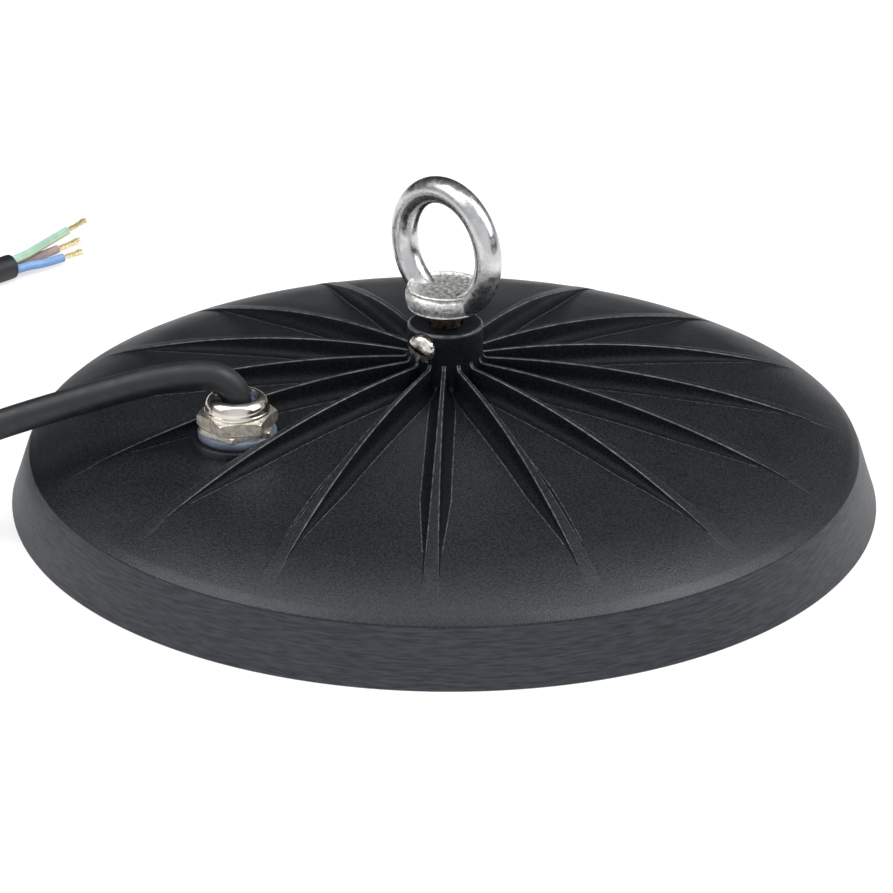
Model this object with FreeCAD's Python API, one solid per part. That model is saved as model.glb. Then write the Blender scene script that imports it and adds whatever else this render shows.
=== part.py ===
import FreeCAD, Part
import math
import os

from FreeCAD import Vector

# High bay light: a die-cast dome with radiating ribs, hung by an eye bolt, fed through a cable
# gland, with an LED board and a lens plate set into its underside.
# Millimetres. The origin is the centre of the rim's foot, +Z points up through the eye bolt,
# and the ribs stand at every 22.5 degrees, one of them along +X.

# Housing, outside
RIM_R = 109.0
SKIRT_TOP_R = RIM_R - 4.8
SKIRT_H = 14.3
DOME_TOP_Z = 30.3
SHOULDER_R = SKIRT_TOP_R - 22.2
SHOULDER_Z = 23.0
BOSS_R = 9.4
BOSS_TOP_Z = 44.8
BOSS_EDGE = 0.8

# Ribs on the dome
RIB_COUNT = 16
RIB_TOP_W = 1.0
RIB_DRAFT_DEG = 4.7
RIB_TOP_Z = 35.7
RIB_MID_R = 60.0
RIB_MID_Z = 29.9
RIB_END_R = SKIRT_TOP_R - 6.7
RIB_END_Z = 18.6
RIB_FOOT_R = 2.4
RIB_FOOT_LEAST_R = 0.25
RIB_FOOT_END_DEG = 252.0
RIB_SINK = 0.3
RIB_ROOT_DEPTH = 1.2
RIB_END_RUN = 1.4
RIB_SPANS = 6

# Housing, inside
WALL = 3.2
RIM_WIDTH = 7.6
LENS_SEAT_Z = 5.6
LENS_RECESS_R = RIM_R - RIM_WIDTH
LENS_R = LENS_RECESS_R - 0.4
LENS_SCREW_AT_R = LENS_R - 3.0
GROOVE_OUT_R = LENS_SCREW_AT_R - 3.4
GROOVE_IN_R = GROOVE_OUT_R - 3.2
GROOVE_DEPTH = 1.5
BOARD_SEAT_Z = 12.0
BOARD_WELL_R = GROOVE_IN_R - 2.4
BOARD_R = BOARD_WELL_R - 0.5
BOARD_SCREW_AT_R = BOARD_R - 4.5
POCKET_R = BOARD_SCREW_AT_R - 12.0
HUB_R = 13.0
WEB_COUNT = 8
WEB_W = 3.0

# Eye bolt, M8
BOLT_D = 8.0
BOLT_LENGTH = 13.0
BOLT_HOLE_DEPTH = 13.0
COLLAR_GAP = 4.3
COLLAR_R = 10.0
COLLAR_H = 5.4
COLLAR_LIP = 0.6
EYE_R = 14.7
EYE_WIRE_R = 3.3
EYE_CENTRE_Z = 64.5
EYE_TURN_DEG = 1.3

# Lock screw in the side of the boss, M4
LOCK_DEG = -78.75
LOCK_Z = 40.8
LOCK_D = 4.0
LOCK_HEAD_R = 3.4
LOCK_HEAD_H = 2.4
LOCK_SEAT_R = 9.0

# Cable gland on its spot-faced pad, 17 mm across flats
GLAND_DEG = -101.6
GLAND_R = 58.8
PAD_R = 11.0
PAD_Z = 27.4
PAD_BOSS_R = 10.5
PAD_BOSS_DEPTH = 6.5
GLAND_THREAD_R = 7.6
GLAND_THREAD_LENGTH = 8.5
GLAND_AF = 17.0
CAP_TURN_DEG = 6.8
BODY_TURN_DEG = 24.0
WASHER_R = 9.55
WASHER_T = 2.1
BODY_HEX_H = 1.4
CAP_HEX_H = 2.6
CAP_CHAMFER_H = 0.7
CAP_R = 7.85
CAP_H = 7.2
CAP_MOUTH_EDGE = 0.6
CAP_ROUND_R = 2.2
BODY_BORE_R = 4.4
BODY_NECK_R = 6.6
SEAL_R = 5.0
SEAL_TOP_BELOW_MOUTH = 1.7

# Supply cable and its three cores
CABLE_D = 7.2
CORE_D = 2.8
CORE_SPREAD = 1.7
STRAND_D = 1.5
CABLE_EXIT_BELOW_MOUTH = 3.5
CABLE_FIRST_RUN = 3.0

# The cable's route: out of the gland, over the rim, down to the floor and up to its coil
GLAND_ROUTE = (
    (-12.7, -58.5, 40.4), (-14.4, -60.3, 42.3), (-16.5, -62.4, 43.2), (-20.5, -66.6, 43.1),
    (-27.2, -73.9, 41.3), (-36.4, -83.8, 37.2), (-50.6, -99.2, 30.4), (-65.0, -114.5, 22.0),
    (-82.0, -126.0, 11.0), (-102.0, -130.5, 3.6), (-122.8, -131.7, 3.6))
# From the coil to the stripped end
END_ROUTE = (
    (-185.3, -76.0, 10.9), (-186.4, -56.5, 7.0), (-186.1, -36.5, 3.6),
    (-187.0, -16.0, 3.6), (-188.2, 3.0, 3.6))
# The coil: where its turns lie and where the cable joins and leaves it
COIL_X = -145.4
COIL_Y = -94.5
COIL_OUTER_R = 39.6
COIL_PITCH = 7.3
COIL_START_DEG = -83.2
COIL_END_DEG = 181.8
NOTCH_PLAY = 0.5
# Each core's points past the jacket's end, and the length bared at its tip
CORE_ROUTES = {
    "green_yellow": ((-188.2, 3.01, 5.3), (-188.52, 8.0, 5.3), (-193.5, 17.6, 4.5), (-201.4, 33.8, 3.2)),
    "brown": ((-189.7, 2.91, 2.75), (-190.02, 7.9, 2.75), (-193.0, 16.0, 1.6), (-194.8, 25.4, 1.5)),
    "blue": ((-186.7, 3.1, 2.75), (-187.02, 8.1, 2.75), (-186.3, 13.6, 2.2), (-187.2, 21.8, 1.9)),
}
BARE_LENGTHS = {"green_yellow": 11.4, "brown": 9.0, "blue": 6.9}

# LED board and what is soldered to it
BOARD_T = 1.6
BOARD_HOLE_R = 4.5
BOARD_HOLE_AT_R = 22.0
BOARD_HOLE_DEG = -112.5
LED_RING_RADII = (34.0, 66.0)
LED_RING_COUNTS = (8, 16)
LED_SIZE = 5.0
LED_H = 0.8
LED_TURN_DEG = 11.25
TERMINAL_W = 11.0
TERMINAL_D = 7.0
TERMINAL_H = 4.0
TERMINAL_AT_R = 8.0
LEAD_PITCH = 3.6
VARISTOR_R = 4.5
VARISTOR_H = 3.8
VARISTOR_AT_R = 14.0
VARISTOR_DEG = 195.0
RECTIFIER_SIZE = (6.5, 5.0, 2.4)
RECTIFIER_AT_R = 14.0
RECTIFIER_DEG = 0.0
FUSE_SIZE = (8.0, 3.2, 3.0)
FUSE_AT_R = 16.0
FUSE_DEG = -45.0
DRIVER_SIZE = (5.0, 4.0, 1.6)
DRIVER_COUNT = 3
DRIVER_AT_R = 17.0
DRIVER_FIRST_DEG = 45.0
DRIVER_STEP_DEG = 40.0

# Protective earth: a boss in the pocket, a ring lug and a screw
EARTH_AT_R = 36.0
EARTH_DEG = -120.0
EARTH_BOSS_R = 4.5
EARTH_FACE_Z = 19.0
LUG_R = 3.2
LUG_T = 0.8
LUG_BARREL_R = 1.9
LUG_BARREL_LENGTH = 6.0
EARTH_SCREW_DEPTH = 5.0
BOARD_SCREW_COUNT = 6
BOARD_SCREW_D = 3.0

# Lens plate, its gasket and screws
LENS_T = 2.2
LENS_DOME_R = 7.5
LENS_DOME_H = 2.6
LENS_DOME_TOP_R = 2.6
LENS_SCREW_COUNT = 8
LENS_SCREW_D = 3.0
SCREW_HEAD_R = 2.7
SCREW_HEAD_H = 1.8
SCREW_DEPTH = 6.0

# Play between pieces that touch on a curved face
FIT = 0.05

Z = Vector(0, 0, 1)
ORIGIN = Vector(0, 0, 0)


# Small helpers for profiles and placing

def polar(radius, degrees, z=0.0):
    """A point at this radius and angle about the Z axis."""
    turn = math.radians(degrees)
    return Vector(radius * math.cos(turn), radius * math.sin(turn), z)


def line(start, end):
    return Part.LineSegment(start, end).toShape()


def arc(start, middle, end):
    return Part.Arc(start, middle, end).toShape()


def profile(points):
    """A closed wire in the XZ plane through (radius, z) points; an item (middle, end) is an arc."""
    edges = []
    first = Vector(points[0][0], 0, points[0][1])
    here = first
    for item in points[1:]:
        if isinstance(item[0], tuple):
            middle = Vector(item[0][0], 0, item[0][1])
            end = Vector(item[1][0], 0, item[1][1])
            edges.append(arc(here, middle, end))
        else:
            end = Vector(item[0], 0, item[1])
            edges.append(line(here, end))
        here = end
    if here.distanceToPoint(first) > 1e-6:
        edges.append(line(here, first))
    return Part.Wire(edges)


def revolved(points):
    return Part.Face(profile(points)).revolve(ORIGIN, Z, 360)


def disc(radius, low, high, centre=ORIGIN):
    return Part.makeCylinder(radius, high - low, centre + Vector(0, 0, low), Z)


def ring(inner, outer, low, high, centre=ORIGIN):
    return disc(outer, low, high, centre).cut(disc(inner, low - 1, high + 1, centre))


def hexagon(across_flats, low, high, turn_deg, centre=ORIGIN):
    """A hexagonal prism with a flat facing turn_deg."""
    corner_r = across_flats / 2 / math.cos(math.radians(30))
    corners = [polar(corner_r, turn_deg + 30 + 60 * k, low) + centre for k in range(6)]
    wire = Part.makePolygon(corners + corners[:1])
    return Part.Face(wire).extrude(Vector(0, 0, high - low))


def tangent_arc(start, slope, end):
    """Middle point of the arc in the (radius, z) plane that leaves start at this slope for end."""
    scale = math.hypot(1.0, slope)
    normal = (slope / scale, -1.0 / scale)
    dx = end[0] - start[0]
    dz = end[1] - start[1]
    radius = (dx * dx + dz * dz) / (2 * (normal[0] * dx + normal[1] * dz))
    centre = (start[0] + normal[0] * radius, start[1] + normal[1] * radius)
    chord = (start[0] + dx / 2 - centre[0], start[1] + dz / 2 - centre[1])
    stretch = radius / math.hypot(*chord)
    return (centre[0] + chord[0] * stretch, centre[1] + chord[1] * stretch)


def three_point_circle(a, b, c):
    """Centre and radius of the circle through three (radius, z) points."""
    d = 2 * (a[0] * (b[1] - c[1]) + b[0] * (c[1] - a[1]) + c[0] * (a[1] - b[1]))
    aa = a[0] ** 2 + a[1] ** 2
    bb = b[0] ** 2 + b[1] ** 2
    cc = c[0] ** 2 + c[1] ** 2
    x = (aa * (b[1] - c[1]) + bb * (c[1] - a[1]) + cc * (a[1] - b[1])) / d
    z = (aa * (c[0] - b[0]) + bb * (a[0] - c[0]) + cc * (b[0] - a[0])) / d
    return (x, z), math.hypot(a[0] - x, a[1] - z)


# Housing: one aluminium die casting

CROWN_DROP = DOME_TOP_Z - SHOULDER_Z
CROWN_R = (SHOULDER_R ** 2 + CROWN_DROP ** 2) / (2 * CROWN_DROP)
CROWN_CENTRE_Z = DOME_TOP_Z - CROWN_R
SHOULDER_SLOPE = -SHOULDER_R / math.sqrt(CROWN_R ** 2 - SHOULDER_R ** 2)
SHOULDER_MIDDLE = tangent_arc((SHOULDER_R, SHOULDER_Z), SHOULDER_SLOPE, (SKIRT_TOP_R, SKIRT_H))
SHOULDER_CENTRE, SHOULDER_ARC_R = three_point_circle(
    (SHOULDER_R, SHOULDER_Z), SHOULDER_MIDDLE, (SKIRT_TOP_R, SKIRT_H))
RIB_CENTRE, RIB_ARC_R = three_point_circle(
    (BOSS_R, RIB_TOP_Z), (RIB_MID_R, RIB_MID_Z), (RIB_END_R, RIB_END_Z))


def crown_z(radius):
    """Height of the dome's crown arc at a radius."""
    return CROWN_CENTRE_Z + math.sqrt(CROWN_R ** 2 - radius ** 2)


def dome_z(radius):
    """Height of the dome's outside at a radius, crown or shoulder."""
    if radius < SHOULDER_R:
        return crown_z(radius)
    return SHOULDER_CENTRE[1] + math.sqrt(SHOULDER_ARC_R ** 2 - (radius - SHOULDER_CENTRE[0]) ** 2)


def rib_top_z(radius):
    return RIB_CENTRE[1] + math.sqrt(RIB_ARC_R ** 2 - (radius - RIB_CENTRE[0]) ** 2)


def rib_section(radius):
    """Cross-section of a rib at a radius: flat top, drafted sides, hollow feet, sunk base."""
    draft = math.radians(RIB_DRAFT_DEG)
    foot_slope = math.radians(270 - RIB_FOOT_END_DEG)
    top = rib_top_z(radius)
    ground = dome_z(radius)
    half = RIB_TOP_W / 2 + math.tan(draft) * (RIB_TOP_Z - top)
    height = top - ground
    free_share = 0.93
    foot_share = 0.75
    room = radius * math.tan(math.pi / RIB_COUNT) * free_share - half - math.tan(draft) * height
    foot = max(RIB_FOOT_LEAST_R, min(RIB_FOOT_R, foot_share * height, room / foot_share))
    centre_z = ground - RIB_SINK + foot * math.cos(foot_slope)
    side_at_centre = half + math.tan(draft) * (top - centre_z)
    centre_y = side_at_centre + foot / math.cos(draft)

    def on_foot(degrees):
        turn = math.radians(degrees)
        return (centre_y + foot * math.cos(turn), centre_z + foot * math.sin(turn))

    start = on_foot(180 + RIB_DRAFT_DEG)
    middle = on_foot((180 + RIB_DRAFT_DEG + RIB_FOOT_END_DEG) / 2)
    end = on_foot(RIB_FOOT_END_DEG)
    base_z = end[1] - RIB_ROOT_DEPTH

    def at(point, side=1):
        return Vector(radius, side * point[0], point[1])

    right = [(half, top), start, middle, end, (end[0], base_z)]
    corners = [at(point) for point in right] + [at(point, -1) for point in reversed(right)]
    return Part.makePolygon(corners + corners[:1])


def ribs():
    """All the ribs: from inside the boss's wall out to a short run down into the shoulder."""
    first = BOSS_R - 1.0
    span = (RIB_END_R - first) / RIB_SPANS
    sections = [rib_section(first + number * span) for number in range(RIB_SPANS + 1)]
    sunk = rib_section(RIB_END_R)
    drop = rib_top_z(RIB_END_R) - dome_z(RIB_END_R + RIB_END_RUN) + RIB_SINK
    sunk.translate(Vector(RIB_END_RUN, 0, -drop))
    blade = Part.makeLoft(sections + [sunk], True, True)
    copies = []
    for number in range(RIB_COUNT):
        copy = blade.copy()
        copy.rotate(ORIGIN, Z, number * 360 / RIB_COUNT)
        copies.append(copy)
    return copies


def gland_axis(z=0.0):
    return polar(GLAND_R, GLAND_DEG, z)


def lock_axis():
    """Unit vector from the boss's middle out along the lock screw."""
    return polar(1.0, LOCK_DEG)


def housing():
    outside = revolved([
        (0, LENS_SEAT_Z + 1),
        (0, DOME_TOP_Z),
        ((SHOULDER_R / 2, crown_z(SHOULDER_R / 2)), (SHOULDER_R, SHOULDER_Z)),
        (SHOULDER_MIDDLE, (SKIRT_TOP_R, SKIRT_H)),
        (RIM_R, 0),
        (LENS_RECESS_R, 0),
        (LENS_RECESS_R, LENS_SEAT_Z),
        (BOARD_WELL_R, LENS_SEAT_Z),
        (BOARD_WELL_R, LENS_SEAT_Z + 1),
    ])
    boss = revolved([
        (0, DOME_TOP_Z - WALL),
        (BOSS_R, DOME_TOP_Z - WALL),
        (BOSS_R, BOSS_TOP_Z - BOSS_EDGE),
        (BOSS_R - 0.3 * BOSS_EDGE, BOSS_TOP_Z - 0.3 * BOSS_EDGE),
        (BOSS_R - BOSS_EDGE, BOSS_TOP_Z),
        (0, BOSS_TOP_Z),
    ])
    pad = disc(PAD_R, DOME_TOP_Z - 2 * WALL, PAD_Z, gland_axis())
    body = outside.multiFuse([boss, pad] + ribs())

    well = disc(BOARD_WELL_R, LENS_SEAT_Z - 1, BOARD_SEAT_Z)
    pocket = revolved([
        (0, BOARD_SEAT_Z - 1),
        (0, DOME_TOP_Z - WALL),
        ((POCKET_R / 2, crown_z(POCKET_R / 2) - WALL), (POCKET_R, crown_z(POCKET_R) - WALL)),
        (POCKET_R, BOARD_SEAT_Z - 1),
    ])
    hub = disc(HUB_R, BOARD_SEAT_Z, DOME_TOP_Z)
    pad_boss = disc(PAD_BOSS_R, PAD_Z - PAD_BOSS_DEPTH, DOME_TOP_Z, gland_axis())
    earth_boss = disc(EARTH_BOSS_R, EARTH_FACE_Z, DOME_TOP_Z, earth_centre())
    stays = [hub, pad_boss, earth_boss]
    for number in range(WEB_COUNT):
        web = Part.makeBox(POCKET_R - HUB_R + 4, WEB_W, DOME_TOP_Z - BOARD_SEAT_Z,
                           Vector(HUB_R - 2, -WEB_W / 2, BOARD_SEAT_Z))
        web.rotate(ORIGIN, Z, number * 360 / WEB_COUNT)
        stays.append(web)
    pocket = pocket.cut(Part.makeCompound(stays))
    groove = ring(GROOVE_IN_R, GROOVE_OUT_R, LENS_SEAT_Z - 1, LENS_SEAT_Z + GROOVE_DEPTH)

    cuts = [well, pocket, groove]
    cuts.append(disc(PAD_R, PAD_Z, PAD_Z + 10, gland_axis()))
    cuts.append(disc(GLAND_THREAD_R, BOARD_SEAT_Z, PAD_Z + 1, gland_axis()))
    cuts.append(disc(BOLT_D / 2 + FIT, BOSS_TOP_Z - BOLT_HOLE_DEPTH, BOSS_TOP_Z + 1))
    lock_start = Vector(0, 0, LOCK_Z)
    cuts.append(Part.makeCylinder(LOCK_D / 2 + FIT, BOSS_R + 5, lock_start, lock_axis()))
    seat = lock_start + lock_axis() * LOCK_SEAT_R
    cuts.append(Part.makeCylinder(LOCK_HEAD_R + 0.3, 4, seat, lock_axis()))
    for number in range(LENS_SCREW_COUNT):
        centre = polar(LENS_SCREW_AT_R, lens_screw_deg(number))
        hole = disc(LENS_SCREW_D / 2 + FIT, LENS_SEAT_Z - 1, LENS_SEAT_Z + SCREW_DEPTH, centre)
        cuts.append(hole)
    for number in range(BOARD_SCREW_COUNT):
        centre = polar(BOARD_SCREW_AT_R, board_screw_deg(number))
        hole = disc(BOARD_SCREW_D / 2 + FIT, BOARD_SEAT_Z - 1, BOARD_SEAT_Z + SCREW_DEPTH, centre)
        cuts.append(hole)
    cuts.append(disc(BOARD_SCREW_D / 2 + FIT, BOARD_SEAT_Z - 1, EARTH_FACE_Z + EARTH_SCREW_DEPTH,
                     earth_centre()))
    return body.cut(cuts).removeSplitter()


def lens_screw_deg(number):
    return (number + 0.5) * 360 / LENS_SCREW_COUNT


def board_screw_deg(number):
    return (number + 0.25) * 360 / BOARD_SCREW_COUNT


def earth_centre(z=0.0):
    return polar(EARTH_AT_R, EARTH_DEG, z)


# Eye bolt: forged stainless steel, polished ring on a stamped collar

COLLAR_Z = BOSS_TOP_Z + COLLAR_GAP


def eye_bolt():
    collar = revolved([
        (0, COLLAR_Z),
        (COLLAR_R - COLLAR_LIP, COLLAR_Z),
        (COLLAR_R, COLLAR_Z + COLLAR_LIP),
        (COLLAR_R, COLLAR_Z + COLLAR_H - 2 * COLLAR_LIP),
        (COLLAR_R - COLLAR_LIP, COLLAR_Z + COLLAR_H),
        (0, COLLAR_Z + COLLAR_H),
    ])
    shank = disc(BOLT_D / 2, COLLAR_Z - BOLT_LENGTH, COLLAR_Z)
    shank = shank.fuse(disc(BOLT_D / 2 - 0.5, COLLAR_Z - 1, COLLAR_Z + 1))
    eye = Part.makeTorus(EYE_R, EYE_WIRE_R, Vector(0, 0, EYE_CENTRE_Z), Vector(0, 1, 0))
    eye.rotate(ORIGIN, Z, EYE_TURN_DEG)
    below = disc(2 * COLLAR_R, COLLAR_Z - BOLT_LENGTH, COLLAR_Z)
    return collar.multiFuse([shank, eye.cut(below)])


# Screws: a pan head with a cross recess, drawn along +Z and laid on an axis

def pan_screw(shank_r, length, head_r, head_h, recess_r, recess_w):
    """A screw whose head stands on z = 0 and whose shank hangs below it."""
    head = revolved([
        (0, 0),
        (head_r, 0),
        (head_r, head_h * 0.35),
        (head_r * 0.84, head_h * 0.8),
        (head_r * 0.5, head_h),
        (0, head_h),
    ])
    screw = head.fuse(Part.makeCylinder(shank_r, length + head_h / 2, Vector(0, 0, -length), Z))
    depth = head_h * 0.6
    for along, across in ((2 * recess_r, recess_w), (recess_w, 2 * recess_r)):
        slot = Part.makeBox(along, across, head_h,
                            Vector(-along / 2, -across / 2, head_h - depth))
        screw = screw.cut(slot)
    return screw


def laid(shape, place, direction):
    """The shape turned from +Z to a direction and moved to its place."""
    copy = shape.copy()
    turn = FreeCAD.Rotation(Z, direction)
    copy.Placement = FreeCAD.Placement(place, turn).multiply(copy.Placement)
    return copy


def eye_lock_screw():
    screw = pan_screw(LOCK_D / 2, LOCK_SEAT_R - BOLT_D / 2 - FIT, LOCK_HEAD_R, LOCK_HEAD_H,
                      LOCK_HEAD_R * 0.6, 0.9)
    return laid(screw, Vector(0, 0, LOCK_Z) + lock_axis() * LOCK_SEAT_R, lock_axis())


# Cable gland: nickel-plated brass body and cap nut, sealing washer and clamping seal

WASHER_TOP = PAD_Z + WASHER_T
CAP_Z = WASHER_TOP + BODY_HEX_H
MOUTH_Z = CAP_Z + CAP_H


def gland_washer():
    return ring(GLAND_THREAD_R + FIT, WASHER_R, PAD_Z, WASHER_TOP, gland_axis())


def gland_body():
    centre = gland_axis()
    hex_part = hexagon(GLAND_AF, WASHER_TOP, CAP_Z, GLAND_DEG + BODY_TURN_DEG, centre)
    thread = disc(GLAND_THREAD_R - FIT, PAD_Z - GLAND_THREAD_LENGTH, WASHER_TOP + 0.5, centre)
    neck = disc(BODY_NECK_R, CAP_Z - 0.5, CAP_Z + CAP_H / 2, centre)
    body = hex_part.multiFuse([thread, neck])
    bore = disc(BODY_BORE_R, PAD_Z - GLAND_THREAD_LENGTH - 1, MOUTH_Z, centre)
    seat = disc(SEAL_R + FIT, CAP_Z, MOUTH_Z, centre)
    return body.cut([bore, seat])


def gland_cap_nut():
    lip_top = CAP_H
    hex_top = CAP_HEX_H
    shoulder = CAP_R + 0.35
    outside = [
        (0, 0),
        (GLAND_AF / 2 / math.cos(math.radians(30)), 0),
        (GLAND_AF / 2 / math.cos(math.radians(30)), hex_top - 0.4),
        (shoulder, hex_top + CAP_CHAMFER_H),
        (CAP_R, hex_top + CAP_CHAMFER_H),
        (CAP_R, lip_top - CAP_ROUND_R),
        (CAP_R - CAP_ROUND_R * 0.12, lip_top - CAP_ROUND_R * 0.5),
        (CAP_R - CAP_ROUND_R * 0.45, lip_top - CAP_ROUND_R * 0.13),
        (CAP_R - CAP_ROUND_R, lip_top),
        (0, lip_top),
    ]
    turned = revolved(outside)
    flats = hexagon(GLAND_AF, -1, hex_top + CAP_CHAMFER_H, GLAND_DEG + CAP_TURN_DEG)
    dome = disc(CAP_R + 0.34, hex_top, CAP_H + 1)
    nut = turned.common(flats.fuse(dome))
    bore = revolved([
        (0, -1),
        (BODY_NECK_R + FIT, -1),
        (BODY_NECK_R + FIT, CAP_H / 2 + 0.3),
        (SEAL_R + FIT, CAP_H / 2 + 0.3),
        (SEAL_R + FIT, lip_top - CAP_MOUTH_EDGE),
        (SEAL_R + FIT + CAP_MOUTH_EDGE, lip_top),
        (SEAL_R + FIT + CAP_MOUTH_EDGE, lip_top + 1),
        (0, lip_top + 1),
    ])
    nut = nut.cut(bore)
    nut.translate(gland_axis(CAP_Z))
    return nut


def gland_seal():
    return ring(CABLE_D / 2 + FIT, SEAL_R, CAP_Z, MOUTH_Z - SEAL_TOP_BELOW_MOUTH, gland_axis())


# Supply cable: rubber jacket over three cores, coiled beside the lamp, its far end stripped

CABLE_EXIT_Z = MOUTH_Z - CABLE_EXIT_BELOW_MOUTH
JACKET_IN_Z = PAD_Z - GLAND_THREAD_LENGTH - 0.5
FLOOR_Z = CABLE_D / 2
COIL_TURN_RADII = (COIL_OUTER_R, COIL_OUTER_R - COIL_PITCH)


def tube(points, diameter, name):
    """A round tube along straight runs joined by tangent arcs; prints its smallest radius."""
    points = [Vector(*point) for point in points]
    edges = []
    here = points[0]
    smallest = 1e9
    for before, corner, after in zip(points, points[1:], points[2:]):
        run_in = (corner - before).normalize()
        run_out = (after - corner).normalize()
        turn = run_in.getAngle(run_out)
        cut = 0.45 * min(before.distanceToPoint(corner), corner.distanceToPoint(after))
        radius = cut / math.tan(turn / 2)
        smallest = min(smallest, radius)
        start = corner - run_in * cut
        end = corner + run_out * cut
        inward = (run_out - run_in).normalize()
        middle = corner + inward * (radius / math.cos(turn / 2) - radius)
        edges.append(line(here, start))
        edges.append(arc(start, middle, end))
        here = end
    edges.append(line(here, points[-1]))
    path = Part.Wire(edges)
    first = (points[1] - points[0]).normalize()
    section = Part.Wire([Part.makeCircle(diameter / 2, points[0], first)])
    solid = path.makePipeShell([section], True, True, 2)
    share = solid.Volume / (math.pi * diameter ** 2 / 4 * path.Length)
    print(f"{name}: length {path.Length:.1f}, smallest radius {smallest:.1f}, volume share {share:.4f}")
    return solid


def bent_wire(points, diameter):
    """A stiff wire along straight runs with plain corners, for the short leads in the pocket."""
    path = Part.makePolygon(points)
    first = (points[1] - points[0]).normalize()
    section = Part.Wire([Part.makeCircle(diameter / 2, points[0], first)])
    return path.makePipeShell([section], True, True, 1)


def coil_point(degrees, turn, z):
    return Vector(COIL_X, COIL_Y, 0) + polar(COIL_TURN_RADII[turn], degrees, z)


def supply_cable():
    start = gland_axis()
    points = [(start.x, start.y, CABLE_EXIT_Z), (start.x, start.y, CABLE_EXIT_Z + CABLE_FIRST_RUN)]
    points += list(GLAND_ROUTE)
    points.append(tuple(coil_point(COIL_START_DEG, 0, FLOOR_Z)))
    return tube(points, CABLE_D, "supply_cable")


def supply_cable_end():
    points = [tuple(coil_point(COIL_END_DEG, 0, FLOOR_Z + COIL_PITCH))]
    points += list(END_ROUTE)
    return tube(points, CABLE_D, "supply_cable_end")


def coil_notch(degrees, way):
    """Room for the cable where it joins the coil at this angle and runs off, way +1 or -1."""
    width = CABLE_D + 2 * NOTCH_PLAY
    length = COIL_OUTER_R
    notch = Part.makeBox(width, length, 3 * CABLE_D, Vector(-width / 2, -3 * FIT, -CABLE_D / 2))
    return laid_flat(notch, coil_point(degrees, 0, 0), degrees if way > 0 else degrees + 180)


def laid_flat(shape, place, degrees):
    """The shape turned about Z from its +X and moved to its place."""
    copy = shape.copy()
    copy.rotate(ORIGIN, Z, degrees)
    copy.translate(place)
    return copy


def supply_cable_coil():
    """The coil's outer shape, two turns wide and two high, notched where the cable joins it."""
    inner = COIL_OUTER_R - COIL_PITCH - CABLE_D / 2
    outer = COIL_OUTER_R + CABLE_D / 2
    solid = ring(inner, outer, 0, CABLE_D + COIL_PITCH, Vector(COIL_X, COIL_Y, 0))
    return solid.cut([coil_notch(COIL_START_DEG, 1), coil_notch(COIL_END_DEG, -1)])


def cable_tail():
    """The jacket inside the gland, down to where it is stripped in the pocket."""
    return disc(CABLE_D / 2, JACKET_IN_Z, CABLE_EXIT_Z, gland_axis())


def core_end(colour):
    return tube(CORE_ROUTES[colour], CORE_D, "core_" + colour)


def core_strands():
    """The bared copper of the three cores."""
    strands = []
    for colour, points in CORE_ROUTES.items():
        start = Vector(*points[-1])
        along = start - Vector(*points[-2])
        strands.append(Part.makeCylinder(STRAND_D / 2, BARE_LENGTHS[colour], start, along))
    return Part.makeCompound(strands)


# LED board: aluminium-core circuit board with its LEDs and driver parts on the lower face

BOARD_Z = BOARD_SEAT_Z - BOARD_T
LENS_Z = LENS_SEAT_Z - LENS_T


def board_hole(z=0.0):
    return polar(BOARD_HOLE_AT_R, BOARD_HOLE_DEG, z)


def led_board():
    board = disc(BOARD_R, BOARD_Z, BOARD_SEAT_Z)
    cuts = [disc(BOARD_HOLE_R, BOARD_Z - 1, BOARD_SEAT_Z + 1, board_hole())]
    for number in range(BOARD_SCREW_COUNT):
        centre = polar(BOARD_SCREW_AT_R, board_screw_deg(number))
        cuts.append(disc(BOARD_SCREW_D / 2 + 0.2, BOARD_Z - 1, BOARD_SEAT_Z + 1, centre))
    return board.cut(cuts)


def block(size, height, radius, degrees):
    """A part soldered under the board, its length across the radius."""
    shape = Part.makeBox(size[1], size[0], height, Vector(-size[1] / 2, -size[0] / 2, BOARD_Z - height))
    shape.rotate(ORIGIN, Z, degrees)
    shape.translate(polar(radius, degrees))
    return shape


def led_places():
    for radius, count in zip(LED_RING_RADII, LED_RING_COUNTS):
        for number in range(count):
            yield radius, LED_TURN_DEG + number * 360 / count


def leds():
    return Part.makeCompound(
        [block((LED_SIZE, LED_SIZE), LED_H, radius, degrees) for radius, degrees in led_places()])


def terminal_block():
    box = block((TERMINAL_W, TERMINAL_D), TERMINAL_H, TERMINAL_AT_R, BOARD_HOLE_DEG)
    cuts = [lead_entry(side) for side in (-1, 1)]
    return box.cut(cuts)


def lead_entry(side):
    """The hole in the terminal block that a lead's end fills."""
    across = polar(side * LEAD_PITCH / 2, BOARD_HOLE_DEG + 90)
    start = polar(TERMINAL_AT_R, BOARD_HOLE_DEG, BOARD_Z - TERMINAL_H / 2) + across
    return Part.makeCylinder(CORE_D / 2 + FIT, TERMINAL_D, start, polar(1.0, BOARD_HOLE_DEG))


def driver_chips():
    chips = [block(DRIVER_SIZE[:2], DRIVER_SIZE[2], DRIVER_AT_R, DRIVER_FIRST_DEG + number * DRIVER_STEP_DEG)
             for number in range(DRIVER_COUNT)]
    return Part.makeCompound(chips)


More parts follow.
